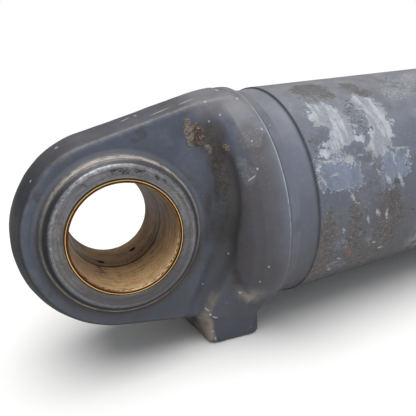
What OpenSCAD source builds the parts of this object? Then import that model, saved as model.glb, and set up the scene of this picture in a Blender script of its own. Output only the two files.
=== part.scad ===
// Telescopic hydraulic cylinder, three moving stages, eye to eye.
// Origin: centre of the base eye bore. +X runs along the barrel to the rod eye,
// the pin bores run along Y, +Z is up and the oil port pad faces down.
// All sizes in millimetres. Drawn fully closed.

/* [Pin eyes] */
// Pin bore diameter in both eyes
pin_d = 80; // [70:1:84]
// Wall thickness of the wrapped bronze bushes
bush_wall = 2.5; // [2:0.5:4]
// Width over the bosses of both eyes
eye_width = 120; // [116:1:130]
// Width of the eye plate between the bosses
plate_width = 100; // [90:1:104]
// Diameter of the turned boss round each pin bore
boss_d = 118; // [110:1:126]
// Radius of the base eye end, at the middle of its crowned rim
eye_r = 79.5; // [78:0.5:83]
// Angle of the base eye's two flanks to the barrel axis
flank_a = 12.4; // [11:0.1:13]
// Outer radius of the rod eye
rod_eye_r = 70; // [66:1:76]

/* [Tubes] */
// Barrel outside diameter
barrel_od = 197; // [194:1:200]
// Barrel bore diameter
barrel_id = 176; // [174:1:178]
// First sleeve outside diameter
s1_od = 160; // [158:1:162]
// First sleeve bore diameter
s1_id = 144; // [142:1:146]
// Second sleeve outside diameter
s2_od = 128; // [126:1:129]
// Second sleeve bore diameter
s2_id = 114; // [113:1:116]
// Plunger outside diameter
plunger_od = 98; // [97:1:100]
// Plunger bore diameter
plunger_id = 74; // [70:1:78]
// Distance from the base eye to the open end of the barrel
barrel_end = 950; // [900:5:1000]

/* [Glands and bearings] */
// Depth of a gland nut inside its tube
gland_depth = 70; // [66:1:80]
// Thickness of a gland nut's flange
gland_flange = 10; // [8:1:11]
// Length of a foot bearing
foot_len = 45; // [40:1:50]
// Radial running clearance of the guide and foot bearings
run = 0.08; // [0.05:0.01:0.1]

/* [Oil port] */
// Bore of the flange port
port_d = 25; // [19:1:26]
// Long hole spacing of the flange port
port_long = 52.4; // [48:0.1:54]
// Short hole spacing of the flange port
port_short = 26.2; // [24:0.1:27]
// Tapping diameter of the four flange holes
port_tap = 8.5; // [8:0.1:9]
// Height of the port pad's face below the axis
pad_z = 117; // [114:1:120]

/* [Hidden] */
$fn = 96;

bore_r = pin_d / 2;
housing_r = bore_r + bush_wall;
half_w = eye_width / 2;
half_p = plate_width / 2;
cap_r = 101.5;               // round cap of the casting
spigot_end = 150;          // end of the cap's spigot inside the barrel
lip = 3;                   // pick-up lip at each sleeve's foot
bar_r = barrel_od / 2;
bar_i = barrel_id / 2;
s1_x0 = spigot_end + 2;    // bottom faces of the stages, closed
s2_x0 = s1_x0 + 7;
pl_x0 = s2_x0 + 7;
step = 22;                 // how far each stage stands proud of the last one
s1_end = barrel_end + step;
s2_end = s1_end + step;
pl_end = s2_end + step + 4;
rod_x = pl_end + 80;       // centre of the rod eye
pad_cx = 78;               // centre of the port pad

// A ring of revolution about X from (x, r) points.
module about_x(pts) {
  rotate([0, 90, 0]) rotate([0, 0, 90]) rotate_extrude() polygon([for (p = pts) [p[1], p[0]]]);
}
// A ring of revolution about Y from (r, y) points, centred on x = cx.
module about_y(pts, cx = 0) {
  translate([cx, 0, 0]) rotate([-90, 0, 0]) rotate_extrude() polygon(pts);
}
// A plain ring about X.
module ring_x(x0, x1, ri, ro, c = 0) {
  about_x([[x0 + c, ri], [x1 - c, ri], [x1 - c / 2, ri + c], [x1, ri + c], [x1, ro - c],
           [x1 - c, ro], [x0 + c, ro], [x0, ro - c], [x0, ri + c]]);
}
module rod_x(x0, x1, r) { translate([x0, 0, 0]) rotate([0, 90, 0]) cylinder(r = r, h = x1 - x0); }
module rod_y(y0, y1, r, cx = 0) { translate([cx, y0, 0]) rotate([-90, 0, 0]) cylinder(r = r, h = y1 - y0); }
// Outline of the port pad: its front and left sides are drawn in, as cast.
module pad_outline() {
  polygon([[61.5, -41.6], [94.7, -47.9], [98.5, -47], [101.6, -44.2], [103, -40], [103, 38], [101.3, 42.5], [97, 45],
           [59, 45], [54.5, 43], [51.8, 38.5], [51.5, 16], [58.2, -38.2], [59.4, -40.6]]);
}

// Section of the eye plate's rim as (y, r): full in the middle, falling away to the faces.
function crown(r) = let (half = [[0, -45], [0, -9.6], [5, -6.6], [14, -2.4], [24, 0]])
  concat([for (p = half) [-half_p + p[0], p[1] == -45 ? -45 : r + p[1]]],
         [for (i = [len(half) - 1 : -1 : 0]) [half_p - half[i][0], half[i][1] == -45 ? -45 : r + half[i][1]]]);
// One flank of the neck: the rim's section drawn out along the tangent.
module flank(s) rotate([0, -s * flank_a, 0]) rotate([90, 0, 90]) linear_extrude(118) polygon([for (p = crown(eye_r)) [p[0], s * p[1]]]);

// Base eye, neck, round cap and port pad: one casting.
module base_eye_casting() color([0.27, 0.30, 0.36]) difference() {
  union() {
    // eye end: round about the pin, with a crowned rim
    about_y([for (p = crown(eye_r)) [max(p[1], 0), p[0]]]);
    // neck: two flanks that leave the eye at a tangent and end in the cap
    intersection() {
      union() { flank(1); flank(-1); }
      rod_x(-60, 96, cap_r - 0.05);
    }
    // round cap with its swept shoulder, weld collar and spigot
    about_x([[62, 0], [62, 40], [66, 50], [71, 59], [76, 70], [81, 81], [87, 91], [93, 97.8], [99, 100.5], [105, cap_r],
             [111.3, cap_r], [111.9, cap_r - 0.7], [113, 99.7], [115, 98.6], [118, 97.7], [121, 97.2], [124, 96.95],
             [133, bar_i - 0.02], [spigot_end - 2, bar_i - 0.02], [spigot_end, bar_i - 2], [spigot_end, 0]]);
    // bosses on both faces
    for (s = [-1, 1]) let (h = half_w - half_p)
      about_y([[0, s * (half_p - 2)], [65, s * (half_p - 2)], [62.6, s * half_p], [60.6, s * (half_p + 0.08 * h)],
               [boss_d / 2, s * (half_p + 0.22 * h)], [boss_d / 2 - 2.4, s * (half_p + 0.39 * h)],
               [boss_d / 2 - 3.8, s * (half_p + 0.56 * h)], [boss_d / 2 - 4.6, s * (half_p + 0.76 * h)],
               [boss_d / 2 - 5.6, s * (half_p + 0.91 * h)], [boss_d / 2 - 7.4, s * half_w], [0, s * half_w]]);
    // port pad
    translate([0, 0, -pad_z]) linear_extrude(pad_z - 55) pad_outline();
  }
  // housing bore for the bushes, with lead-in chamfers
  rod_y(-half_w - 1, half_w + 1, housing_r);
  for (s = [-1, 1]) about_y([[0, s * (half_w - 0.8)], [housing_r, s * (half_w - 0.8)], [housing_r + 1, s * (half_w + 0.2)], [0, s * (half_w + 0.2)]]);
  // dished cavity that feeds the barrel
  about_x([[108, 0], [108, 50], [116, 62], [126, 66], [spigot_end + 1, 66], [spigot_end + 1, 0]]);
  // port bore, gallery to the cavity, flange holes
  translate([pad_cx, 0, -pad_z - 1]) cylinder(r = port_d / 2, h = pad_z - 39);
  translate([pad_cx, 0, -50]) rotate([0, 90, 0]) cylinder(r = 10, h = 36);
  for (sx = [-1, 1], sy = [-1, 1])
    translate([pad_cx + sx * port_short / 2, sy * port_long / 2, -pad_z - 1]) cylinder(r = port_tap / 2, h = 21);
  // grease hole from the nipple on the underside to the bore
  translate([15, 30, -100]) cylinder(r = 2.5, h = 70);
  translate([15, 30, -81]) mirror([0, 0, 1]) cylinder(r = 8, h = 20);
  translate([15, 30, -81.2]) cylinder(r = 4.6, h = 10);
}

// Wrapped bush: rolled outer rim, groove and inner lip on the outside end.
module bush(s, cx) {
  y1 = s * half_w;
  w = bush_wall;
  about_y([[bore_r, s * 0.3], [housing_r - 0.02, s * 0.3], [housing_r - 0.02, y1 - s * 0.9], [housing_r - 0.3, y1],
           [bore_r + 0.66 * w, y1], [bore_r + 0.56 * w, y1 - s * 1.1], [bore_r + 0.46 * w, y1],
           [bore_r + 0.3 * w, y1 - s * 0.15], [bore_r, y1 - s * 1.6]], cx);
}
module oiled_bush(s, cx) color([0.72, 0.45, 0.2]) difference() {
  bush(s, cx);
  // lubrication hole
  translate([cx + (cx == 0 ? 15 : 0), s * 30, cx == 0 ? -50 : 30]) cylinder(r = 2.5, h = 25);
  if (cx == 0) translate([-17, s * 13, -50]) cylinder(r = 2.5, h = 25);
}
module base_eye_bush_near() color([0.72, 0.45, 0.2]) bush(-1, 0);
module base_eye_bush_far() oiled_bush(1, 0);
module rod_eye_bush_near() oiled_bush(-1, rod_x);
module rod_eye_bush_far() oiled_bush(1, rod_x);

// Grease nipple: hexagon, stem and ball head.
module nipple() {
  translate([0, 0, -6]) cylinder(r = 4, h = 6.5);
  translate([0, 0, 0.1]) cylinder(r = 5.2, h = 4, $fn = 6);
  translate([0, 0, 3]) cylinder(r = 2.6, h = 5);
  translate([0, 0, 8.6]) sphere(r = 3.2);
}
module base_grease_nipple() color([0.75, 0.72, 0.6])
  translate([15, 30, -81.2]) mirror([0, 0, 1]) nipple();
module rod_grease_nipple() color([0.75, 0.72, 0.6])
  translate([rod_x, 30, rod_eye_r - 1]) nipple();

// Ring of weld metal that fills the groove between cap and barrel.
module base_weld_ring() color([0.33, 0.36, 0.41])
  about_x([[124, 96.95], [133, bar_i], [133.6, bar_i], [133.6 + 0.9 * 6.2, bar_i + 0.9 * (bar_r - 0.1 - bar_i)],
           [138.4, 97.3], [136, 97.05], [133, 96.8], [130, 96.75], [127, 96.85]]);

module barrel_tube() color([0.42, 0.44, 0.48])
  about_x([[133.6, bar_i], [barrel_end - 1.5, bar_i], [barrel_end, bar_i + 1.5], [barrel_end, bar_r - 1.5],
           [barrel_end - 1.5, bar_r], [139.8, bar_r], [139.8, bar_r - 0.1]]);

// Gland nut that screws into a tube of bore radius ri, ends at x = e and lets a
// tube of radius ro slide through. Grooves hold the guide ring, rod seal and wiper;
// six slots in the flange take a hook spanner.
module gland_nut(e, ri, ro, flange_r) color([0.36, 0.38, 0.42]) difference() {
  about_x([[e - gland_depth, ro + 0.6], [e + gland_flange, ro + 0.6], [e + gland_flange, flange_r - 1.5],
           [e + gland_flange - 1.5, flange_r], [e + 0.05, flange_r], [e + 0.05, ri - 0.05],
           [e - gland_depth + 1, ri - 0.05], [e - gland_depth, ri - 1]]);
  ring_x(e - 62, e - 37, ro - 1, ro + 3.05);
  ring_x(e - 29, e - 17, ro - 1, ro + 5.05);
  ring_x(e - 4, e + 5, ro - 1, ro + 4.05);
  ring_x(e - 46, e - 42, ri - 1.45, ri + 1);
  for (i = [0 : 5]) rotate([i * 60 + 30, 0, 0])
    translate([e + gland_flange - 6, flange_r - 4, -4.5]) cube([8, 8, 9]);
}
// Static seal in the gland nut's outer groove.
module static_seal(e, ri) color([0.08, 0.08, 0.09]) ring_x(e - 45.9, e - 42.1, ri - 1.4, ri - 0.02, 0.3);
// Guide ring of the gland.
module guide_ring(e, ro) color([0.55, 0.36, 0.18]) ring_x(e - 61.9, e - 37.1, ro + run, ro + 3, 0.4);
// Rod seal: a lip seal with its open side to the oil.
module rod_seal(e, ro) color([0.1, 0.1, 0.12])
  about_x([[e - 28.8, ro + 0.12], [e - 28.8, ro + 1.4], [e - 23, ro + 2.2], [e - 23, ro + 3.2], [e - 28.8, ro + 3.8],
           [e - 28.8, ro + 5], [e - 17.2, ro + 5], [e - 17.2, ro + 0.5], [e - 25, ro + 0.5], [e - 27, ro + 0.12]]);
// Wiper: its lip reaches out past the flange.
module wiper(e, ro) color([0.09, 0.09, 0.1])
  about_x([[e - 3.9, ro + 0.5], [e - 3.9, ro + 4], [e + 4.9, ro + 4], [e + 4.9, ro + 0.65 + 1.2], [e + 4.9, ro + 0.55],
           [e + gland_flange + 1.2, ro + 0.55], [e + gland_flange + 1.8, ro + 0.12], [e + 8, ro + 0.12], [e + 3, ro + 0.5]]);

module barrel_gland_nut() gland_nut(barrel_end, bar_i, s1_od / 2, bar_r - 1);
module barrel_gland_static_seal() static_seal(barrel_end, bar_i);
module barrel_guide_ring() guide_ring(barrel_end, s1_od / 2);
module barrel_rod_seal() rod_seal(barrel_end, s1_od / 2);
module barrel_wiper() wiper(barrel_end, s1_od / 2);

// A sleeve from x0 to e with two ring grooves at its foot and a pick-up lip
// inside that carries the next stage.
module sleeve(x0, e, ri, ro) color([0.62, 0.64, 0.66]) difference() {
  about_x([[x0 + 1, ri - lip], [x0 + 5, ri - lip], [x0 + 5.01, ri], [e - 1, ri], [e, ri + 1], [e, ro - 0.8], [e - 0.8, ro],
           [x0 + 1.5, ro], [x0, ro - 1.5], [x0, ri - lip + 1]]);
  ring_x(x0 + 3, x0 + 7, ro - 1.5, ro + 1);
  ring_x(x0 + 9 + foot_len, x0 + 15 + foot_len, ro - 1.5, ro + 1);
}
// Snap ring below the foot bearing.
module foot_retainer(x0, ri, ro) color([0.5, 0.5, 0.52]) ring_x(x0 + 3.05, x0 + 6.95, ri - 1.45, ro - 1.5, 0.5);
// Bronze foot bearing, a ring between two snap rings.
module foot_bearing(x0, ri, ro) color([0.66, 0.44, 0.2]) ring_x(x0 + 7.2, x0 + 8.8 + foot_len, ri + 0.04, ro - run, 0.8);
// Stop ring above the foot bearing: it meets the gland at full stroke.
module stop_ring(x0, ri, ro) color([0.5, 0.5, 0.52]) ring_x(x0 + 9.05 + foot_len, x0 + 14.95 + foot_len, ri - 1.45, ro - 0.8, 0.6);

module sleeve_1_tube() sleeve(s1_x0, s1_end, s1_id / 2, s1_od / 2);
module sleeve_1_foot_retainer() foot_retainer(s1_x0, s1_od / 2, bar_i);
module sleeve_1_foot_bearing() foot_bearing(s1_x0, s1_od / 2, bar_i);
module sleeve_1_stop_ring() stop_ring(s1_x0, s1_od / 2, bar_i);
module sleeve_1_gland_nut() gland_nut(s1_end, s1_id / 2, s2_od / 2, s1_od / 2 - 0.6);
module sleeve_1_gland_static_seal() static_seal(s1_end, s1_id / 2);
module sleeve_1_guide_ring() guide_ring(s1_end, s2_od / 2);
module sleeve_1_rod_seal() rod_seal(s1_end, s2_od / 2);
module sleeve_1_wiper() wiper(s1_end, s2_od / 2);

module sleeve_2_tube() sleeve(s2_x0, s2_end, s2_id / 2, s2_od / 2);
module sleeve_2_foot_retainer() foot_retainer(s2_x0, s2_od / 2, s1_id / 2);
module sleeve_2_foot_bearing() foot_bearing(s2_x0, s2_od / 2, s1_id / 2);
module sleeve_2_stop_ring() stop_ring(s2_x0, s2_od / 2, s1_id / 2);
module sleeve_2_gland_nut() gland_nut(s2_end, s2_id / 2, plunger_od / 2, s2_od / 2 - 0.6);
module sleeve_2_gland_static_seal() static_seal(s2_end, s2_id / 2);
module sleeve_2_guide_ring() guide_ring(s2_end, plunger_od / 2);
module sleeve_2_rod_seal() rod_seal(s2_end, plunger_od / 2);
module sleeve_2_wiper() wiper(s2_end, plunger_od / 2);

// Plunger: ground tube with two ring grooves at its foot.
module plunger_tube() color([0.75, 0.76, 0.78]) difference() {
  about_x([[pl_x0, plunger_id / 2], [pl_end - 4, plunger_id / 2], [pl_end - 4, plunger_od / 2 - 4], [pl_end - 7, plunger_od / 2],
           [pl_x0 + 1.5, plunger_od / 2], [pl_x0, plunger_od / 2 - 1.5]]);
  ring_x(pl_x0 + 3, pl_x0 + 7, plunger_od / 2 - 1.5, plunger_od / 2 + 1);
  ring_x(pl_x0 + 9 + foot_len, pl_x0 + 15 + foot_len, plunger_od / 2 - 1.5, plunger_od / 2 + 1);
}
// Turned plug that closes the plunger's foot, with a bleed passage.
module plunger_foot_plug() color([0.45, 0.46, 0.5]) difference() {
  about_x([[pl_x0 + 1, 0], [pl_x0 + 30, 0], [pl_x0 + 30, plunger_id / 2 - 2], [pl_x0 + 28, plunger_id / 2 - 0.02],
           [pl_x0 + 1, plunger_id / 2 - 0.02]]);
  rod_x(pl_x0 - 1, pl_x0 + 40, 3);
}
module plunger_foot_retainer() foot_retainer(pl_x0, plunger_od / 2, s2_id / 2);
module plunger_foot_bearing() foot_bearing(pl_x0, plunger_od / 2, s2_id / 2);
module plunger_stop_ring() stop_ring(pl_x0, plunger_od / 2, s2_id / 2);

// Weld metal between plunger and rod eye.
module rod_eye_weld_ring() color([0.35, 0.36, 0.4])
  about_x([[pl_end - 4, plunger_od / 2 - 4], [pl_end - 3, plunger_od / 2 - 4], [pl_end, plunger_od / 2 - 0.2],
           [pl_end - 1, plunger_od / 2 + 1.6], [pl_end - 4, plunger_od / 2 + 2.4], [pl_end - 7, plunger_od / 2 + 1.4],
           [pl_end - 8.5, plunger_od / 2], [pl_end - 7, plunger_od / 2]]);

// Rod eye: round neck, eye between two bosses, spigot into the plunger.
module rod_eye_forging() color([0.27, 0.30, 0.36]) difference() {
  union() {
    // the neck narrows to the plate's width, clear of the bracket's ears
    intersection() {
      about_x([[pl_end - 24, 0], [pl_end - 24, plunger_id / 2 - 1.5], [pl_end - 22.5, plunger_id / 2 - 0.02],
               [pl_end - 3, plunger_id / 2 - 0.02], [pl_end - 3, plunger_od / 2 - 4], [pl_end, plunger_od / 2 - 0.2],
               [pl_end + 6, plunger_od / 2 + 1], [pl_end + 14, 54], [pl_end + 22, 57.5], [pl_end + 32, 59], [pl_end + 60, 61], [pl_end + 60, 0]]);
      translate([0, 0, -80]) linear_extrude(160)
        polygon([[pl_end - 30, -70], [pl_end + 24, -70], [pl_end + 24, -58.2], [pl_end + 38, -half_p], [pl_end + 61, -half_p],
                 [pl_end + 61, half_p], [pl_end + 38, half_p], [pl_end + 24, 58.2], [pl_end + 24, 70], [pl_end - 30, 70]]);
    }
    about_y([[0, -half_p], [rod_eye_r - 6, -half_p], [rod_eye_r - 1.6, -half_p + 2], [rod_eye_r, -half_p + 6],
             [rod_eye_r, half_p - 6], [rod_eye_r - 1.6, half_p - 2], [rod_eye_r - 6, half_p], [0, half_p]], rod_x);
    for (s = [-1, 1])
      about_y([[0, s * (half_p - 2)], [boss_d / 2, s * (half_p - 2)], [boss_d / 2 - 1, s * (half_p + 1)],
               [boss_d / 2 - 2, s * (half_w - 1.6)], [boss_d / 2 - 4, s * half_w], [0, s * half_w]], rod_x);
  }
  rod_y(-half_w - 1, half_w + 1, housing_r, rod_x);
  for (s = [-1, 1]) about_y([[0, s * (half_w - 0.8)], [housing_r, s * (half_w - 0.8)], [housing_r + 1, s * (half_w + 0.2)], [0, s * (half_w + 0.2)]], rod_x);
  // grease hole with a spot face for the nipple
  translate([rod_x, 30, 30]) cylinder(r = 2.5, h = 50);
  translate([rod_x, 30, rod_eye_r - 7.5]) cylinder(r = 4.05, h = 10);
  translate([rod_x, 30, rod_eye_r - 1]) cylinder(r = 8, h = 10);
  // bleed hole from the neck into the plunger
  translate([pl_end + 22, 0, 20]) cylinder(r = 5, h = 50);
  rod_x(pl_end - 30, pl_end + 22, 4);
  translate([pl_end + 22, 0, -4]) cylinder(r = 3, h = 30);
  translate([pl_end + 22, 0, 56]) cylinder(r = 9.5, h = 12);
}
// Bleed screw in the rod eye's neck: hexagon head with a socket.
module bleed_screw() color([0.7, 0.68, 0.55]) translate([pl_end + 22, 0, 0]) difference() {
  union() {
    translate([0, 0, 26]) cylinder(r = 4.95, h = 30.1);
    translate([0, 0, 56.1]) cylinder(r = 8, h = 6, $fn = 6);
  }
  translate([0, 0, 58]) cylinder(r = 3, h = 5, $fn = 6);
}

base_eye_casting();
base_eye_bush_near();
base_eye_bush_far();
base_grease_nipple();
base_weld_ring();
barrel_tube();
barrel_gland_nut();
barrel_gland_static_seal();
barrel_guide_ring();
barrel_rod_seal();
barrel_wiper();
sleeve_1_tube();
sleeve_1_foot_retainer();
sleeve_1_foot_bearing();
sleeve_1_stop_ring();
sleeve_1_gland_nut();
sleeve_1_gland_static_seal();
sleeve_1_guide_ring();
sleeve_1_rod_seal();
sleeve_1_wiper();
sleeve_2_tube();
sleeve_2_foot_retainer();
sleeve_2_foot_bearing();
sleeve_2_stop_ring();
sleeve_2_gland_nut();
sleeve_2_gland_static_seal();
sleeve_2_guide_ring();
sleeve_2_rod_seal();
sleeve_2_wiper();
plunger_foot_bearing();
plunger_tube();
plunger_foot_plug();
plunger_foot_retainer();
plunger_stop_ring();
rod_eye_weld_ring();
rod_eye_forging();
rod_eye_bush_near();
rod_eye_bush_far();
rod_grease_nipple();
bleed_screw();
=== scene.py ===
"""Looks of the three-stage telescopic hydraulic cylinder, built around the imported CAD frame."""

import math

import bpy
import bmesh
import numpy as np
from mathutils import Euler, Matrix, Vector


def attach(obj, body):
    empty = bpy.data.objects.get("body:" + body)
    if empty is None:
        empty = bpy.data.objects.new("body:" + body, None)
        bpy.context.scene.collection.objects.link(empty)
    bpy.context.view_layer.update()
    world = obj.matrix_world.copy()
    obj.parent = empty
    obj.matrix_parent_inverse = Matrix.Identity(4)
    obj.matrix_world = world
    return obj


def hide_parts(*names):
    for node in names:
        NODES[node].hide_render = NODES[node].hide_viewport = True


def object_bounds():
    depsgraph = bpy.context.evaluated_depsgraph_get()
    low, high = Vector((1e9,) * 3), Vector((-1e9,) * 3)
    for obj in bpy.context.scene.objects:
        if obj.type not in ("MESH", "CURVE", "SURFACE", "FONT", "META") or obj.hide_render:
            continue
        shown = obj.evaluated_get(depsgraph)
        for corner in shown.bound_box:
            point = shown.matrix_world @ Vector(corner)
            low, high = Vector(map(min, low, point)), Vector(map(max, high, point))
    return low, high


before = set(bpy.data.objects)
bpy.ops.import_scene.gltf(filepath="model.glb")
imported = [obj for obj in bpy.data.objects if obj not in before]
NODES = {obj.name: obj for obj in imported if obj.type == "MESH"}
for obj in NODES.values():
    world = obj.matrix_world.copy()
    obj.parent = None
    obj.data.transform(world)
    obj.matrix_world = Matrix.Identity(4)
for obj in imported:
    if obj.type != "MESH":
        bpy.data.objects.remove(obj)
CAD_LO, CAD_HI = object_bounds()
MM = 0.001


# --------------------------------------------------------------------------
# Distance fields, in millimetres. The castings are blended from rounded
# primitives, the way the pattern was built up, with a fillet at every join.
# --------------------------------------------------------------------------
def smin(a, b, k):
    h = np.clip(0.5 + 0.5 * (b - a) / k, 0.0, 1.0)
    return b + (a - b) * h - k * h * (1.0 - h)


def smax(a, b, k):
    return -smin(-a, -b, k)


def step01(a, b, x):
    t = np.clip((x - a) / (b - a), 0.0, 1.0)
    return t * t * (3.0 - 2.0 * t)


def poly2(px, py, pts):
    """Signed distance to a closed polygon in the plane."""
    n = len(pts)
    best = None
    sign = np.zeros(px.shape, dtype=bool)
    for i in range(n):
        ax, ay = pts[i]
        bx, by = pts[(i + 1) % n]
        ex, ey = bx - ax, by - ay
        wx, wy = px - ax, py - ay
        t = np.clip((wx * ex + wy * ey) / (ex * ex + ey * ey + 1e-12), 0.0, 1.0)
        dx, dy = wx - ex * t, wy - ey * t
        d = dx * dx + dy * dy
        best = d if best is None else np.minimum(best, d)
        cond = ((ay > py) != (by > py))
        if abs(ey) > 1e-12:
            xc = ax + (py - ay) * ex / ey
            sign ^= cond & (px < xc)
    return np.where(sign, -1.0, 1.0) * np.sqrt(best)


def capsule_path(x, y, z, pts):
    """Distance to a path through (x, y, z, radius) points."""
    best = None
    for a, b in zip(pts[:-1], pts[1:]):
        ex, ey, ez = b[0] - a[0], b[1] - a[1], b[2] - a[2]
        wx, wy, wz = x - a[0], y - a[1], z - a[2]
        t = np.clip((wx * ex + wy * ey + wz * ez) / (ex * ex + ey * ey + ez * ez), 0.0, 1.0)
        d = np.sqrt((wx - ex * t) ** 2 + (wy - ey * t) ** 2 + (wz - ez * t) ** 2) - (a[3] + (b[3] - a[3]) * t)
        best = d if best is None else np.minimum(best, d)
    return best


CAP = [(62, -5), (62, 40), (66, 50), (71, 59), (76, 70), (81, 81), (87, 91), (93, 97.4), (99, 100.3), (105, 101.35),
       (109, 101.5), (111.3, 101.45), (111.9, 100.8), (113, 99.7), (115, 98.6), (118, 97.7), (121, 97.2), (124, 96.95),
       (129, 91.9), (133, 87.9), (150, 87.9), (150, -5)]
PAD = [(61.5, -41.6), (94.7, -47.9), (98.5, -47), (101.6, -44.2), (103, -40), (103, 38), (101.3, 42.5), (97, 45),
       (59, 45), (54.5, 43), (51.8, 38.5), (51.5, 16), (58.2, -38.2), (59.4, -40.6)]
BOSS = [(0, 40), (66, 40), (66, 47.4), (62.8, 49.8), (60.8, 50.8), (59.3, 52.0), (58.0, 53.2), (56.4, 54.2), (55.3, 55.6),
        (54.5, 57.6), (53.5, 59.2), (51.7, 60), (0, 60)]
WEB_Z = [-130, -117, -97, -78, -60, -45, -31, -20, 0]
WEB_H = [43, 44, 49, 51, 54, 57, 61.7, 66, 72]
WEB_L = [57, 56.5, 55, 55.5, 62, 69, 75, 79, 84]


FL_C, FL_S = math.cos(math.radians(12.4)), math.sin(math.radians(12.4))
_cy = np.array([0, 15, 24, 30, 36, 42, 46, 49, 52, 60], float)
_cd = np.array([0, 0.1, 0.6, 1.6, 3.4, 5.7, 7.3, 8.6, 10.1, 14.5])
CROWN_Y = np.linspace(0, 60, 241)
CROWN_D = np.interp(CROWN_Y, _cy, _cd)
CROWN_D = np.convolve(np.pad(CROWN_D, 12, mode="edge"), np.hanning(15)[1:-1] / np.hanning(15)[1:-1].sum(), "same")[12:-12]


def casting(x, y, z):
    ay = np.abs(y)
    r = np.sqrt(y * y + z * z)
    # plate: round eye with two tangent flanks, and a crowned rim
    az = np.abs(z)
    along = x * FL_C + az * FL_S
    rim = np.where(along < 0, np.sqrt(x * x + z * z), az * FL_C - x * FL_S) - 79.8
    rim = (rim + np.interp(ay, CROWN_Y, CROWN_D)) * 0.93
    rim = smax(rim, r - 101.9, 3.0)
    body = smax(rim, ay - 50.0, 2.2)
    body = np.maximum(body, x - 99.0)
    cap = poly2(x, r, CAP)
    side = step01(28.0, 47.0, ay)
    d = smin(body, cap, 2.0 + 11.0 * side)
    # the web under the cap, which grows out of the shoulder and into the pad
    h = np.interp(z, WEB_Z, WEB_H)
    xl = np.interp(z, WEB_Z, WEB_L)
    web = smax(ay - h, xl - x, 9.0)
    web = smax(web, x - 101.5, 5.0)
    web = np.maximum(web, z + 12.0)
    web = smax(web, -115.0 - z, 3.0)
    d = smin(d, web, 8.0)
    lean = 1.0 + 0.0030 * np.clip(z + 117.0, 0.0, 30.0)
    pad = poly2(x, y / lean, PAD)
    pad = smax(pad, -117.0 - z, 2.2)
    pad = np.maximum(pad, z + 62.0)
    d = smin(d, pad, 3.5)
    # bosses
    boss = poly2(np.sqrt(x * x + z * z), ay, BOSS)
    d = smin(d, boss, 2.0)
    # the hollow between the plate and the web on each side
    groove = capsule_path(x, ay, z, [(77, 70.5, 40, 8), (77, 74.4, 25, 8), (76.6, 74.8, 12, 8), (76, 72.2, 0, 8),
                                     (74.8, 66.6, -11, 8.3), (73, 62.5, -24, 9), (67.5, 57.5, -44, 10), (60, 56.3, -58.5, 10),
                                     (51.5, 56.3, -71, 10), (43.5, 57.3, -83, 10), (36, 60, -95, 9)])
    d = smax(d, -groove, 5.0)
    return d


def lattice(n, seed):
    rng = np.random.RandomState(seed)
    return rng.rand(n, n, n)


_LAT = lattice(32, 7)


def noise3(x, y, z, scale):
    """Smooth value noise from -1 to 1."""
    x, y, z = x / scale + 100.3, y / scale + 100.7, z / scale + 100.1
    xi, yi, zi = np.floor(x).astype(int), np.floor(y).astype(int), np.floor(z).astype(int)
    fx, fy, fz = x - xi, y - yi, z - zi
    fx, fy, fz = fx * fx * (3 - 2 * fx), fy * fy * (3 - 2 * fy), fz * fz * (3 - 2 * fz)
    out = 0.0
    for dx in (0, 1):
        for dy in (0, 1):
            for dz in (0, 1):
                w = (fx if dx else 1 - fx) * (fy if dy else 1 - fy) * (fz if dz else 1 - fz)
                out = out + w * _LAT[(xi + dx) % 32, (yi + dy) % 32, (zi + dz) % 32]
    return out * 2 - 1


def surface_nets(field, gx, gy, gz):
    """Quads on the zero level of a field sampled on a grid with its own spacing along each axis."""
    nx, ny, nz = field.shape
    ins = field < 0
    cnt = np.zeros((nx - 1, ny - 1, nz - 1), np.int8)
    for a in (0, 1):
        for b in (0, 1):
            for c in (0, 1):
                cnt += ins[a:nx - 1 + a, b:ny - 1 + b, c:nz - 1 + c]
    act = (cnt > 0) & (cnt < 8)
    ids = np.full(act.shape, -1, np.int64)
    ids[act] = np.arange(int(act.sum()))
    total = int(act.sum())
    acc, num = np.zeros((total, 3)), np.zeros(total)
    quads = []
    grids = (gx, gy, gz)
    for ax in range(3):
        lo = [slice(None)] * 3
        hi = [slice(None)] * 3
        lo[ax], hi[ax] = slice(0, -1), slice(1, None)
        f0, f1 = field[tuple(lo)], field[tuple(hi)]
        cross = (f0 < 0) != (f1 < 0)
        I = np.argwhere(cross)
        v0, v1 = f0[cross], f1[cross]
        t = v0 / (v0 - v1)
        pos = np.empty((len(I), 3))
        for k in range(3):
            g = grids[k]
            if k == ax:
                pos[:, k] = g[I[:, k]] * (1 - t) + g[I[:, k] + 1] * t
            else:
                pos[:, k] = g[I[:, k]]
        o1, o2 = [k for k in range(3) if k != ax]
        ok = (I[:, o1] > 0) & (I[:, o2] > 0) & (I[:, o1] < field.shape[o1] - 1) & (I[:, o2] < field.shape[o2] - 1)
        I, pos, v0 = I[ok], pos[ok], v0[ok]
        cell = []
        for d1, d2 in ((-1, -1), (0, -1), (0, 0), (-1, 0)):
            J = I.copy()
            J[:, o1] += d1
            J[:, o2] += d2
            c = ids[J[:, 0], J[:, 1], J[:, 2]]
            cell.append(c)
            np.add.at(acc, c, pos)
            np.add.at(num, c, 1)
        q = np.stack(cell, 1)
        flip = (v0 < 0) if ax != 1 else (v0 >= 0)
        q[~flip] = q[~flip][:, ::-1]
        quads.append(q)
    return acc / num[:, None], np.concatenate(quads)


def project(fn, v, steps=4, h=0.06):
    """Moves vertices onto the exact zero level along the gradient."""
    for _ in range(steps):
        x, y, z = v[:, 0], v[:, 1], v[:, 2]
        d = fn(x, y, z)
        g = np.stack([fn(x + h, y, z) - fn(x - h, y, z), fn(x, y + h, z) - fn(x, y - h, z),
                      fn(x, y, z + h) - fn(x, y, z - h)], 1) / (2 * h)
        n2 = np.maximum((g * g).sum(1), 0.2)
        v = v - np.clip(d / n2, -1.2, 1.2)[:, None] * g
    return v


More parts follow.
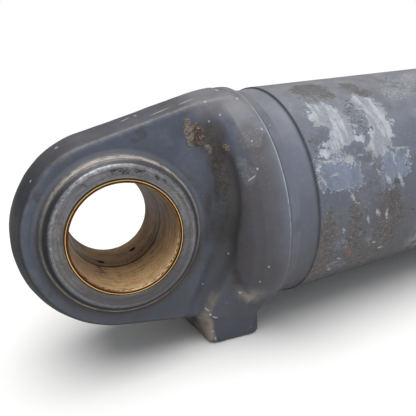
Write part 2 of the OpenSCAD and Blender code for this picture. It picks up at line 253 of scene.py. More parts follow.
def gradient(fn, v, h=0.15):
    x, y, z = v[:, 0], v[:, 1], v[:, 2]
    g = np.stack([fn(x + h, y, z) - fn(x - h, y, z), fn(x, y + h, z) - fn(x, y - h, z),
                  fn(x, y, z + h) - fn(x, y, z - h)], 1)
    return g / np.maximum(np.linalg.norm(g, axis=1), 1e-9)[:, None]


def axis_points(spans):
    """Grid lines: (start, stop, spacing) spans joined end to end."""
    out = []
    for a, b, s in spans:
        n = max(1, int(round((b - a) / s)))
        out.extend(np.linspace(a, b, n, endpoint=False))
    out.append(spans[-1][1])
    return np.array(out)


def field_mesh(name, fn, gx, gy, gz, relief=None):
    F = np.empty((len(gx), len(gy), len(gz)), np.float32)
    Y, Z = np.meshgrid(gy, gz, indexing="ij")
    for i, xv in enumerate(gx):
        F[i] = fn(np.full(Y.shape, xv), Y, Z)
    F[np.abs(F) < 1e-5] = 1e-5
    v, q = surface_nets(F, gx, gy, gz)
    v = project(fn, v)
    if relief is not None:
        n = gradient(fn, v)
        v = v + n * relief(v, n)[:, None]
    me = bpy.data.meshes.new(name)
    me.vertices.add(len(v))
    me.vertices.foreach_set("co", (v * MM).astype(np.float32).ravel())
    me.loops.add(len(q) * 4)
    me.loops.foreach_set("vertex_index", q.astype(np.int32).ravel())
    me.polygons.add(len(q))
    me.polygons.foreach_set("loop_start", np.arange(0, len(q) * 4, 4, dtype=np.int32))
    me.update(calc_edges=True)
    me.validate()
    bm = bmesh.new()
    bm.from_mesh(me)
    bmesh.ops.recalc_face_normals(bm, faces=bm.faces)
    bm.to_mesh(me)
    bm.free()
    ob = bpy.data.objects.new(name, me)
    bpy.context.scene.collection.objects.link(ob)
    return ob


def revolve(name, pts, axis="x", centre=(0, 0, 0), segs=160, wobble=None):
    """A closed ring or solid of revolution from (along, r) points in mm; r of 0 closes at the axis."""
    bm = bmesh.new()
    rings = []
    cx, cy, cz = centre
    for a, r in pts:
        if r < 1e-6:
            co = {"x": (a, 0, 0), "y": (0, a, 0), "z": (0, 0, a)}[axis]
            rings.append([bm.verts.new(((co[0] + cx) * MM, (co[1] + cy) * MM, (co[2] + cz) * MM))])
            continue
        ring = []
        for i in range(segs):
            t = 2 * math.pi * i / segs
            rr = r + (wobble(a, t) if wobble else 0.0)
            c, s = rr * math.cos(t), rr * math.sin(t)
            co = {"x": (a, c, s), "y": (s, a, c), "z": (c, s, a)}[axis]
            ring.append(bm.verts.new(((co[0] + cx) * MM, (co[1] + cy) * MM, (co[2] + cz) * MM)))
        rings.append(ring)
    n = len(rings)
    for k in range(n):
        A, B = rings[k], rings[(k + 1) % n]
        if len(A) == 1 and len(B) == 1:
            continue
        for i in range(segs):
            j = (i + 1) % segs
            if len(A) == 1:
                bm.faces.new((A[0], B[j], B[i]))
            elif len(B) == 1:
                bm.faces.new((A[i], A[j], B[0]))
            else:
                bm.faces.new((A[i], A[j], B[j], B[i]))
    bmesh.ops.recalc_face_normals(bm, faces=bm.faces)
    me = bpy.data.meshes.new(name)
    bm.to_mesh(me)
    bm.free()
    ob = bpy.data.objects.new(name, me)
    bpy.context.scene.collection.objects.link(ob)
    return ob


def smooth_curve(pts, per=5):
    """Catmull-Rom points through (a, r) points."""
    P = np.array([pts[0]] + list(pts) + [pts[-1]], float)
    out = []
    for i in range(1, len(P) - 2):
        p0, p1, p2, p3 = P[i - 1], P[i], P[i + 1], P[i + 2]
        for t in np.linspace(0, 1, per, endpoint=False):
            out.append(tuple(0.5 * ((2 * p1) + (-p0 + p2) * t + (2 * p0 - 5 * p1 + 4 * p2 - p3) * t * t
                                    + (-p0 + 3 * p1 - 3 * p2 + p3) * t ** 3)))
    out.append(tuple(P[-2]))
    return out


def cut(ob, cutters):
    """Exact booleans, applied to the mesh; the cutters are removed."""
    for c in cutters:
        m = ob.modifiers.new("cut", "BOOLEAN")
        m.operation = "DIFFERENCE"
        m.solver = "EXACT"
        m.object = c
        dg = bpy.context.evaluated_depsgraph_get()
        me = bpy.data.meshes.new_from_object(ob.evaluated_get(dg))
        old = ob.data
        ob.modifiers.remove(m)
        ob.data = me
        bpy.data.meshes.remove(old)
        bpy.data.objects.remove(c)


def shade(ob, angle=32.0):
    """Smooth faces, with edges above the angle kept sharp."""
    me = ob.data
    me.polygons.foreach_set("use_smooth", np.ones(len(me.polygons), bool))
    bm = bmesh.new()
    bm.from_mesh(me)
    lim = math.radians(angle)
    for e in bm.edges:
        if len(e.link_faces) == 2:
            e.smooth = e.calc_face_angle(0.0) < lim
        else:
            e.smooth = False
    bm.to_mesh(me)
    bm.free()
    me.update()


def wave_scale(f):
    return f


# ---- the base eye casting --------------------------------------------------
def cast_relief(v, n):
    """The slight unevenness of a sand-cast skin; turned faces stay flat."""
    x, y, z = v[:, 0], v[:, 1], v[:, 2]
    turned = (np.sqrt(x * x + z * z) < 61.5) & (np.abs(y) > 49.0)
    turned |= (x > 109.0)
    turned |= (z < -115.5)
    keep = np.where(turned, 0.0, 1.0)
    low = noise3(x, y, z, 31.0) * 0.42 + noise3(x + 17, y, z - 40, 13.0) * 0.20
    fine = noise3(x, y + 31, z, 5.0) * 0.07
    rel = (low + fine) * keep + noise3(x, y, z, 17.0) * 0.05 * (1 - keep)
    # small knocks along the pad's near left edge, as on the real one
    for cx, cy, cz, rad, dep in ((57.6, -43.0, -88.0, 3.0, 0.9), (58.4, -42.5, -96.0, 2.6, 0.8), (60.5, -42.0, -103.0, 3.4, 1.1),
                                 (59.5, -42.0, -110.0, 2.4, 0.8), (60.5, -41.5, -116.0, 3.0, 0.9), (72.0, -45.5, -117.0, 2.0, 0.5),
                                 (-2.0, -30.0, 80.0, 3.0, 0.5), (30.0, -34.0, 84.0, 3.2, 0.5), (55.0, -38.0, 87.0, 3.5, 0.6)):
        dd = ((x - cx) ** 2 + (y - cy) ** 2 + (z - cz) ** 2) / (rad * rad)
        rel = rel - dep * np.exp(-dd)
    return rel


pitch = 1.6
gx = axis_points([(-86.0, 107.0, pitch), (107.0, 110.2, 1.0), (110.2, 113.0, 0.35), (113.0, 118.0, 1.0), (118.0, 154.0, pitch)])
gy = axis_points([(-107.0, 107.0, pitch)])
gz = axis_points([(-122.0, 107.0, pitch)])
eye = field_mesh("base_eye_skin", casting, gx, gy, gz, cast_relief)
print("eye quads", len(eye.data.polygons))
cutters = [
    revolve("c1", [(-66, 0), (-66, 43.7), (-60.2, 43.7), (-59.0, 42.5), (59.0, 42.5), (60.2, 43.7), (66, 43.7), (66, 0)], "y", segs=192),
    revolve("c2", [(108, 0), (108, 50), (116, 62), (126, 66), (152, 66), (152, 0)], "x", segs=128),
    revolve("c3", [(-118, 0), (-118, 13.7), (-117, 13.7), (-115.8, 12.5), (-40, 12.5), (-40, 0)], "z", (78, 0, 0), segs=96),
    revolve("c4", [(77, 0), (77, 10), (116, 10), (116, 0)], "x", (0, 0, -50), segs=64),
    revolve("c5", [(-101, 0), (-101, 8), (-81, 8), (-81, 2.5), (-30, 2.5), (-30, 0)], "z", (15, 30, 0), segs=48),
]
for sx in (-1, 1):
    for sy in (-1, 1):
        cutters.append(revolve("c6", [(-118, 0), (-118, 5.1), (-117, 5.1), (-116.2, 4.25), (-97, 4.25), (-94.5, 0)], "z",
                               (78 + sx * 13.1, sy * 26.2, 0), segs=40))
cut(eye, cutters)
shade(eye, 38.0)
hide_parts("base_eye_casting")
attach(eye, "base")

# ---- the dressed weld between cap and barrel -------------------------------
weld_top = smooth_curve([(122.0, 97.02), (123.2, 97.07), (124.6, 97.0), (127, 96.86), (130, 96.75), (133, 96.8), (136, 97.05), (138.2, 97.3), (139.0, 97.35)], 4)


def weld_wobble(a, t):
    w = max(0.0, 1.0 - abs(a - 131.5) / 7.0)
    return w * (0.10 * math.sin(t * 7 + 1.0) + 0.06 * math.sin(t * 17 + 2.0))


weld = revolve("weld_skin", [(121.7, 96.5)] + weld_top + [(139.3, 97.2), (139.4, 96.8), (133.4, 88.2)],
               "x", segs=256, wobble=weld_wobble)
shade(weld, 40.0)
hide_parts("base_weld_ring")
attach(weld, "base")


# --------------------------------------------------------------------------
# Materials
# --------------------------------------------------------------------------
class Mat:
    """A short hand for building a node material."""

    def __init__(self, name):
        self.m = bpy.data.materials.new(name)
        self.m.use_nodes = True
        self.t = self.m.node_tree
        self.t.nodes.clear()
        self.out = self.t.nodes.new("ShaderNodeOutputMaterial")
        self.bsdf = self.t.nodes.new("ShaderNodeBsdfPrincipled")
        self.t.links.new(self.bsdf.outputs[0], self.out.inputs[0])
        tc = self.t.nodes.new("ShaderNodeTexCoord")
        self.obj = tc.outputs["Object"]
        sc = self.t.nodes.new("ShaderNodeVectorMath")
        sc.operation = "SCALE"
        sc.inputs["Scale"].default_value = 1000.0
        self.link(self.obj, sc.inputs[0])
        self.p = sc.outputs[0]  # object coordinates in mm
        se = self.t.nodes.new("ShaderNodeSeparateXYZ")
        self.link(self.p, se.inputs[0])
        self.x, self.y, self.z = se.outputs

    def link(self, a, b):
        self.t.links.new(a, b)

    def put(self, sock, v):
        if isinstance(v, bpy.types.NodeSocket):
            self.link(v, sock)
        elif isinstance(v, (tuple, list)) and len(v) == 3 and sock.type == "RGBA":
            sock.default_value = (v[0], v[1], v[2], 1.0)
        else:
            sock.default_value = v

    def math(self, op, a, b=None, c=None, clamp=False):
        n = self.t.nodes.new("ShaderNodeMath")
        n.operation = op
        n.use_clamp = clamp
        self.put(n.inputs[0], a)
        if b is not None:
            self.put(n.inputs[1], b)
        if c is not None:
            self.put(n.inputs[2], c)
        return n.outputs[0]

    def add(self, a, b, clamp=False):
        return self.math("ADD", a, b, clamp=clamp)

    def mul(self, a, b, clamp=False):
        return self.math("MULTIPLY", a, b, clamp=clamp)

    def mx(self, a, b):
        return self.math("MAXIMUM", a, b)

    def ramp(self, v, a, b, lo=0.0, hi=1.0, smooth=True):
        n = self.t.nodes.new("ShaderNodeMapRange")
        n.interpolation_type = "SMOOTHSTEP" if smooth else "LINEAR"
        self.put(n.inputs["Value"], v)
        n.inputs["From Min"].default_value = a
        n.inputs["From Max"].default_value = b
        n.inputs["To Min"].default_value = lo
        n.inputs["To Max"].default_value = hi
        return n.outputs[0]

    def vec(self, x, y, z):
        n = self.t.nodes.new("ShaderNodeCombineXYZ")
        for i, v in enumerate((x, y, z)):
            self.put(n.inputs[i], v)
        return n.outputs[0]

    def vmath(self, op, a, b=None):
        n = self.t.nodes.new("ShaderNodeVectorMath")
        n.operation = op
        self.put(n.inputs[0], a)
        if b is not None:
            self.put(n.inputs[1], b)
        return n.outputs["Value"] if op in ("LENGTH", "DOT_PRODUCT", "DISTANCE") else n.outputs[0]

    def scaled(self, v, s):
        n = self.t.nodes.new("ShaderNodeVectorMath")
        n.operation = "SCALE"
        self.put(n.inputs[0], v)
        n.inputs["Scale"].default_value = s
        return n.outputs[0]

    def noise(self, size, detail=4.0, rough=0.55, dist=0.0, vec=None, colour=False, lac=2.0):
        """size is the feature size in mm."""
        n = self.t.nodes.new("ShaderNodeTexNoise")
        self.link(vec if vec is not None else self.p, n.inputs["Vector"])
        n.inputs["Scale"].default_value = 1.0 / size
        n.inputs["Detail"].default_value = detail
        n.inputs["Roughness"].default_value = rough
        n.inputs["Lacunarity"].default_value = lac
        n.inputs["Distortion"].default_value = dist
        return n.outputs["Color"] if colour else n.outputs[0]

    def voronoi(self, size, vec=None, feature="F1", rand=1.0, out="Distance"):
        n = self.t.nodes.new("ShaderNodeTexVoronoi")
        n.feature = feature
        self.link(vec if vec is not None else self.p, n.inputs["Vector"])
        n.inputs["Scale"].default_value = 1.0 / size
        n.inputs["Randomness"].default_value = rand
        return n.outputs[out]

    def mix(self, f, a, b, mode="MIX"):
        n = self.t.nodes.new("ShaderNodeMix")
        n.data_type = "RGBA"
        n.blend_type = mode
        n.clamp_factor = True
        self.put(n.inputs[0], f)
        self.put(n.inputs[6], a)
        self.put(n.inputs[7], b)
        return n.outputs[2]

    def warp(self, vec, size, amount, detail=2.0):
        """Coordinates pushed about by noise, in mm."""
        c = self.noise(size, detail, 0.5, vec=vec, colour=True)
        off = self.vmath("SUBTRACT", c, (0.5, 0.5, 0.5))
        return self.vmath("ADD", vec, self.scaled(off, amount))

    def blob(self, vec, centre, radii, soft=0.5, turn=0.0):
        """1 inside an ellipsoid that fades out over its outer part. turn is about the third axis, degrees."""
        d = self.vmath("SUBTRACT", vec, tuple(centre))
        if turn:
            e = tuple(math.radians(t) for t in turn) if isinstance(turn, tuple) else (0, 0, math.radians(turn))
            r = Euler(e).to_matrix()
            s = None
            for i in range(3):
                c = self.vmath("DOT_PRODUCT", d, tuple(v / radii[i] for v in r.col[i]))
                s = self.mul(c, c) if s is None else self.math("MULTIPLY_ADD", c, c, s)
        else:
            d = self.vmath("MULTIPLY", d, tuple(1.0 / v for v in radii))
            s = self.vmath("DOT_PRODUCT", d, d)
        return self.ramp(s, 1.0, (1.0 - soft) ** 2)

    def lerp(self, f, a, b):
        """Between two numbers."""
        n = self.t.nodes.new("ShaderNodeMix")
        n.data_type = "FLOAT"
        self.put(n.inputs[0], f)
        self.put(n.inputs[2], a)
        self.put(n.inputs[3], b)
        return n.outputs[0]

    def bump(self, height, dist, strength=1.0, normal=None):
        n = self.t.nodes.new("ShaderNodeBump")
        n.inputs["Strength"].default_value = strength
        n.inputs["Distance"].default_value = dist * MM
        self.put(n.inputs["Height"], height)
        if normal is not None:
            self.link(normal, n.inputs["Normal"])
        return n.outputs[0]

    def set(self, **kw):
        for k, v in kw.items():
            self.put(self.bsdf.inputs[k.replace("_", " ")], v)
        return self.m


def dress(name, mat):
    me = NODES[name].data
    me.materials.clear()
    me.materials.append(mat)


def lin(r, g, b):
    """sRGB 0-255 to linear."""
    out = []
    for c in (r, g, b):
        c = c / 255.0
        out.append(c / 12.92 if c <= 0.04045 else ((c + 0.055) / 1.055) ** 2.4)
    return tuple(out)


# Marks on the casting, in mm: middle, half sizes, turn in degrees. The broad ones are painted on the mesh's points.
# stains with painted shade in the hollow between plate and cap
STAIN_AND_SHADE = [((78.4, -54, 61), (12.3, 11.7, 10), (-16, 77, -146)), ((81, -63, 42), (17, 12, 14), (113, 79, -20)),
         ((83.7, -70, 23), (19, 16, 15), (-87, 18, 122)), ((84, -76, 6), (20, 16, 16), (-87, 18, 122)),
         ((83, -65.5, -9), (27, 17.7, 21.6), (-93, 33, 102)), ((79.5, -71.6, -29), (28.6, 16.3, 23), (-96, 47, 95)),
         ((81, -60, -56), (13.4, 7.3, 10.7), (-46, -62, -86)), ((98, -86, 8), (15, 17, 44), (0, 0, 0)), ((100, -77, 44), (12, 15, 26), (0, 0, 0)), ((98, -80, -36), (14, 18, 28), (0, 0, 0))]
# dark marks and painted shadow on the shoulder
DARK = [((77.8, -62, 35.6), (16.4, 6.9, 13), (38, 71, -90)), ((67.2, -55, 11), (10.9, 3.2, 8.7), (-24, 86, -153)),
        ((80.8, -59.5, -16), (6.9, 2.4, 5.5), (-58, -75, -84)), ((79.2, -58.7, 51.6), (9.4, 6.5, 7.5), (67, 50, -77)),
        ((80.6, -61, -53), (10.3, 4.4, 8.2), (-50, -63, -91))]
RUST_EDGE = [((60.9, -50, 70.3), (13, 4.2, 9.6), (-90, -88, 0)), ((64.4, -50, 61.3), (8, 7, 6), (90, -21, 180)),
             ((69, -50, 66), (11, 6.4, 8), (83, 79, -11)), ((74.1, -52.8, 53.2), (6, 3.4, 5), (68, 63, -52)),
             ((83.4, -66.2, 53.4), (5.4, 3, 5), (-70, -16, 109))]
RUST_CORE = [((69.3, -50, 65), (10.5, 5.4, 7.6), (83, 79, -11)), ((66.7, -50, 59.5), (4.6, 4.4, 5), (0, 0, 0))]
SCUFF = [((97, -81, 57.5), (9.5, 8, 8), (-57, -17, 139)), ((88.6, -86.7, 33), (7.5, 7, 6), (34, 73, -104)),
         ((106, -78, 64), (9, 6, 7), (-51, 8, -131)), ((86.6, -80, 42), (6.7, 4.5, 5.3), (-76, -5, 117))]
SMUDGE = [((25.4, -50, 72), (5, 3.6, 5), (0, 0, 0)), ((19.8, -50, 67.7), (4.4, 2.2, 5), (90, -8, 180)),
          ((-52.2, -50, 39.8), (3.2, 2.6, 5), (0, 0, 0)), ((-58.6, -50, -29.8), (3.6, 2.4, 5), (-87, -80, -4)),
          ((33, -50.8, 52), (5.6, 2.4, 5), (-75, -18, -176)), ((62.5, -52, -14.3), (7, 3.6, 5), (-67, -82, -46)),
          ((-6.4, -50.5, -62.3), (10, 2.8, 6.4), (75, -20, -176)), ((-40, -50.4, -46), (9, 2.6, 6), (60, -20, -160))]
PITS = [((3.8, -60, 48.9), (13, 3.6, 4), (90, -10, 180)), ((17, -60, 47), (8, 3.2, 4), (90, -10, 180)), ((-27, -60, 43.8), (3.4, 3, 4), (0, 0, 0)),
        ((-21.2, -60, 42.6), (3.2, 2.4, 4), (90, -11, 180)), ((29, -60, 40.2), (2.8, 2.4, 4), (0, 0, 0)), ((34.6, -60, 37.3), (2.6, 2.2, 4), (0, 0, 0))]
CHIPS = [((78.1, -49, 88.4), 1.15), ((86.9, -54.2, 77.3), 1.0), ((78.5, -51.1, 73.6), 0.9), ((103.2, -54.4, 87.9), 1.5), ((107.4, -79.6, 62.9), 1.1),
         ((117.8, -73, 64), 1.1), ((94.3, -90.9, 36.7), 1.0), ((96.9, -82.1, 55.7), 1.0), ((78.5, -55.2, -33.6), 1.1), ((55.5, -47.2, -56.5), 1.0),
         ((95.3, -90.8, -38.3), 1.0), ((92, -80.1, -53.5), 1.1), ((84.1, -56.8, -69.4), 1.4), ((57.2, -51.4, -83.7), 1.3), ((58.7, -46.2, -102.7), 1.3),
         ((-33.5, -31.8, 70), 1.7), ((-54.6, -41.6, 50.3), 1.2), ((26.6, -32.2, 85.2), 1.5)]
STROKES = [((96.9, -31.3, 97), (5.4, 1.6, 5.4), (-1, -15, 85)), ((90, -89.1, 30.6), (4.2, 0.7, 5), (-75, 30, 139)),
           ((55.4, -49.2, -79.2), (2.7, 0.8, 5), (-68, -38, 135)), ((61, -51.5, -87.5), (3.6, 1.0, 5), (64, -31, -174)),
           ((60.8, -44.9, -111.2), (3.5, 0.9, 5), (-23, -75, -85)), ((18.4, -32.8, 83.2), (5, 1.0, 5), (-14, 16, -168)),
           ((66, -40.9, 90.8), (9, 0.9, 5), (-20, 14, -172)), ((43.9, -41.4, 85.8), (10, 0.8, 5), (-20, 14, -175))]

# Marks on the barrel: x, arc from the near side, half sizes, turn.
RUB = [(172, 70.8, 15.3, 12.7, -20), (176.8, 55, 12.8, 8.5, 61), (162.7, 42.9, 13.1, 5.7, -6), (213.2, 78.6, 10.9, 9.8, -1),
       (216.5, 63.5, 13.5, 9.1, 53), (214, 49, 13.7, 9.8, 47), (205.2, 37, 9.7, 7.6, 29), (187.3, 48.7, 6.4, 4.6, 16), (300, 70, 22, 16, 20), (352, 44, 30, 10, -12)]
FLECK = [(193.2, 71.4, 12.8, 7, 59), (199.5, 57.3, 11.6, 6.6, 64), (196.6, 81.5, 8.5, 5.5, 23), (166, 99, 12, 5, 10)]
FILM = [(158.4, 23.6, 18.4, 13.4, -4), (218.8, 20, 14, 12, 5), (207.7, 6.7, 8.3, 7.7, -59), (171, 16.4, 13, 9.7, -9), (262, 8, 14, 9, 30)]
BROWN = [(176.8, 110.7, 17.9, 12, 3), (171, 94.7, 6.7, 3.3, 77), (218, 107, 13.9, 8.1, -78), (221, 92.7, 8.6, 7.1, -65), (185.3, 97, 9.9, 6, 38),
         (330, 104, 26, 10, 5), (440, 88, 34, 12, -8)]
SPRINKLE = [(263, 94, 34.8, 18.3, 31), (294, 110, 25.7, 12, 38)]
GRIME = [(148.5, -18, 14, 9.5, -66), (147.2, -40, 18.7, 11.3, -58), (151, -69, 20.4, 12.5, -50), (176.3, -19.4, 20.9, 6, -81), (176.8, -45.6, 17.2, 7.8, -56),
         (213.5, -20.3, 19.2, 11.7, -75), (213.2, -44.2, 19.5, 9.1, -46), (197.2, -66.7, 24.3, 13.2, -14), (215.4, 2.1, 8.2, 5.1, -16), (330, -64, 50, 12, 4)]
PALE = [(166, -38, 14.2, 6.8, -62), (190.3, -36.2, 15.2, 5.2, -68), (169.7, -64, 13.5, 6.4, -20)]
RUST = [(157.2, -25.3, 2.6, 2.0, -35), (175, -50, 4.0, 2.2, -49)]
FLICKS = [(174, 31.3, 4.2, 3.2, 20), (156.8, 21.9, 3.7, 0.9, 6), (144.6, 30, 3.7, 1.1, 67), (146, 18.6, 3.5, 1, -67), (152, 33, 5.7, 0.8, -3),
          (229.8, 57.5, 2.3, 1.2, -51), (185.6, 32.7, 2.4, 0.7, -9), (225.5, 32.7, 9.2, 0.7, -6), (233.2, 27.2, 4.3, 1.1, 71), (217.3, 24.5, 5.1, 1.1, -87),
          (221.2, 6.8, 6.1, 1.8, -70), (208, 9.2, 4.5, 1.2, -60), (171.4, 1, 3.6, 1.2, -81), (175, -3.5, 3.4, 0.7, -20), (197.4, -16.6, 3.3, 1.4, -66),
          (207.3, -21, 5.2, 0.9, -79), (166, -55.5, 3.2, 1.1, -28), (162.3, -69.6, 3.4, 1.2, -50), (213, -58.2, 3.4, 1.4, -17), (201, -47, 2.6, 0.8, -22),
          (187.5, -21, 3.6, 0.9, -80), (162.7, -25, 2.7, 1, -77), (210, 70, 5.1, 1.4, -62), (223.4, 78.5, 4.2, 1.6, -51), (189, 59, 4.2, 1.4, -30),
          (194.3, 24.3, 3.1, 0.7, 14), (199, 17.4, 3.1, 1, -70)]
DOTS = [(144, 51, 1, 1, 0), (146, 42.3, 0.8, 0.8, 0), (229, 17.4, 1.3, 1.2, 43), (268.7, 113, 2.2, 0.8, 44), (236.7, -22.6, 2.3, 1.1, -22), (190, -60.7, 2.1, 0.9, -50)]


def splash(m, vec, items, soft=1.0, grow=1.0):
    """The strongest of several spots laid out on the barrel's unrolled surface."""
    out = None
    for cx, ca, rx, ra, turn in items:
        t = math.radians(turn)
        d = m.vmath("SUBTRACT", vec, (cx, ca, 0.0))
        u = m.vmath("DOT_PRODUCT", d, (math.cos(t) / rx / grow, math.sin(t) / rx / grow, 0.0))
        w = m.vmath("DOT_PRODUCT", d, (-math.sin(t) / ra / grow, math.cos(t) / ra / grow, 0.0))
        b = m.ramp(m.math("MULTIPLY_ADD", u, u, m.mul(w, w)), 1.0, (1.0 - soft) ** 2)
        out = b if out is None else m.mx(out, b)
    return out


def ragged(m, mask, n, amount=0.9, at=0.46, width=0.05):
    """Give a soft spot a broken edge."""
    return m.ramp(m.add(mask, m.mul(m.add(n, -0.5), amount)), at - width, at + width)


def attribute(m, name):
    at = m.t.nodes.new("ShaderNodeAttribute")
    at.attribute_name = name
    return at.outputs["Fac"]


def paint(name, kind):
    """Old blue-grey paint over metal: tone, dust, grime, scuffs, chips and pits, with painted top light, painted
    highlights and painted shade. kind is casting, weld, barrel or rod.
    """
    m = Mat(name)
    big = m.noise(70, 4, 0.6)
    mid = m.noise(15, 5, 0.62)
    fine = m.noise(2.6, 4, 0.6)
    grain = m.noise(0.8, 3, 0.6)
    se = m.t.nodes.new("ShaderNodeSeparateXYZ")
    ge = m.t.nodes.new("ShaderNodeNewGeometry")
    m.link(ge.outputs["Normal"], se.inputs[0])
    nx, ny, nz = se.outputs
    ay = m.math("ABSOLUTE", m.y)
    if kind == "casting":
        dark, lite, grey = (0.046, 0.058, 0.090), (0.066, 0.081, 0.118), (0.118, 0.130, 0.164)
    elif kind == "rod":
        dark, lite, grey = (0.052, 0.063, 0.092), (0.074, 0.087, 0.120), (0.12, 0.13, 0.16)
    elif kind == "weld":
        dark, lite, grey = (0.100, 0.117, 0.160), (0.132, 0.150, 0.198), (0.148, 0.162, 0.200)
    else:
        dark, lite, grey = (0.098, 0.112, 0.150), (0.150, 0.168, 0.214), (0.19, 0.21, 0.26)
    col = m.mix(m.ramp(big, 0.35, 0.68), dark, lite)
    col = m.mix(m.mul(m.ramp(mid, 0.50, 0.72), 0.40), col, grey)
    rough = m.ramp(mid, 0.3, 0.7, 0.38, 0.54, smooth=False)
    height = m.mul(fine, 0.30)
    bare = None
    chips = None
    # painted shade: weight for surfaces that face downwards
    low = m.ramp(m.add(nz, m.mul(m.add(mid, -0.5), 0.4)), 0.05, -0.8)
    if kind == "casting":
        # paler and greyer round the cap than on the eye plate
        capward = m.ramp(m.add(m.x, m.mul(mid, 14.0)), 86.0, 108.0)
        col = m.mix(capward, col, m.mix(m.ramp(big, 0.3, 0.7), (0.104, 0.122, 0.168), (0.136, 0.154, 0.204)))
        streak = m.noise(1.0, 3, 0.6, vec=m.vec(m.mul(m.x, 0.30), m.mul(m.math("ARCTAN2", m.z, ay), 1.6), m.mul(ay, 0.01)))
        col = m.mix(m.mul(m.mul(capward, m.ramp(streak, 0.50, 0.72)), 0.40), col, (0.170, 0.186, 0.224))
        mot = m.noise(34, 4, 0.55, vec=m.vmath("ADD", m.p, (7, 3, 61)))
        col = m.mix(m.mul(m.ramp(mot, 0.52, 0.66), 0.35), col, (0.098, 0.106, 0.136))
        col = m.mix(m.mul(m.ramp(mot, 0.46, 0.34), 0.35), col, (0.040, 0.046, 0.066))
        # worn rim; top faces painted paler brown-grey, painted top light over dust
        edge = m.mul(attribute(m, "edge"), m.ramp(m.x, 116.0, 113.5))
        top_light_dust = m.mul(m.ramp(nz, 0.20, 0.85), m.ramp(mid, 0.25, 0.65, 0.6, 1.0))
        topc = m.mix(m.ramp(m.noise(22, 4, 0.6), 0.35, 0.65), (0.098, 0.094, 0.100), (0.070, 0.063, 0.061))
        topc = m.mix(m.ramp(m.x, 66.0, 84.0), topc, m.mix(m.ramp(mid, 0.35, 0.65), (0.130, 0.130, 0.140), (0.172, 0.174, 0.190)))
        col = m.mix(m.mul(top_light_dust, 0.80), col, topc)
        rimw = m.mul(m.mul(edge, m.ramp(m.noise(7, 5, 0.7), 0.30, 0.62)), m.ramp(nz, -0.5, 0.3, 0.2, 1.0))
        col = m.mix(m.mul(rimw, 0.50), col, (0.170, 0.166, 0.172))
        # stain and painted shade in the hollow between plate and cap
        big2 = m.noise(19, 5, 0.65)
        stain_and_shade = attribute(m, "stain_and_shade")
        stain_shade_mask = m.mul(m.ramp(m.add(stain_and_shade, m.mul(m.add(big2, -0.5), 0.7)), 0.04, 0.80, smooth=False), m.ramp(mid, 0.25, 0.6, 0.85, 1.0))
        sc = m.mix(m.ramp(m.add(m.x, m.mul(m.add(big2, -0.5), 14.0)), 76.0, 90.0), (0.027, 0.024, 0.023), (0.068, 0.062, 0.068))
        sc = m.mix(m.mul(m.ramp(fine, 0.45, 0.7), 0.5), sc, (0.078, 0.066, 0.060))
        sc = m.mix(m.ramp(m.z, -8.0, -48.0), sc, (0.088, 0.077, 0.082))
        col = m.mix(m.mul(stain_shade_mask, 0.92), col, sc)
        # painted top light: the top of the cap paler
        col = m.mix(m.mul(m.mul(m.ramp(m.z, 70.0, 84.0), m.ramp(m.x, 58.0, 74.0)), m.ramp(mid, 0.3, 0.6, 0.6, 0.9)), col, (0.175, 0.175, 0.190))
        # dark marks and painted shadow in the hollow
        dkm = ragged(m, attribute(m, "dark"), m.noise(5.0, 5, 0.7), 1.9, 0.62, 0.34)
        col = m.mix(m.mul(dkm, 0.78), col, m.mix(m.ramp(fine, 0.4, 0.65), (0.024, 0.020, 0.017), (0.055, 0.045, 0.036)))
        # rust and caked grime at the top of the hollow
        rn = m.noise(3.2, 5, 0.75)
        rn2 = m.noise(1.9, 4, 0.75)
        re = ragged(m, attribute(m, "rust_edge"), rn, 2.2, 0.46, 0.20)
        col = m.mix(m.mul(re, 0.80), col, m.mix(m.ramp(rn2, 0.42, 0.60), (0.070, 0.050, 0.036), (0.290, 0.235, 0.180)))
        rc = ragged(m, attribute(m, "rust_core"), rn, 1.8, 0.42, 0.20)
        col = m.mix(m.mul(rc, 0.94), col, m.mix(m.ramp(rn, 0.44, 0.62), (0.016, 0.009, 0.006), (0.095, 0.048, 0.022)))
        col = m.mix(m.mul(m.mul(rc, m.ramp(rn2, 0.55, 0.62)), 0.9), col, (0.32, 0.24, 0.16))
        crust = m.mul(m.mx(re, rc), rn)
        # smudges; hollows darkened with grime and painted shade
        sm = ragged(m, attribute(m, "smudge"), rn, 2.4, 0.58, 0.22)
        col = m.mix(m.mul(sm, 0.55), col, (0.034, 0.030, 0.030))
        hollow = m.mul(attribute(m, "hollow"), m.ramp(m.x, 112.0, 108.0))
        col = m.mix(m.mul(m.mul(hollow, m.ramp(mid, 0.3, 0.6, 0.4, 1.0)), 0.45), col, (0.045, 0.040, 0.038))
        # brown film on the pad's flank that faces the eye
        pf = m.mul(m.mul(m.ramp(nx, -0.2, -0.7), m.ramp(m.z, -58.0, -76.0)), m.ramp(big2, 0.25, 0.6, 0.4, 1.0))
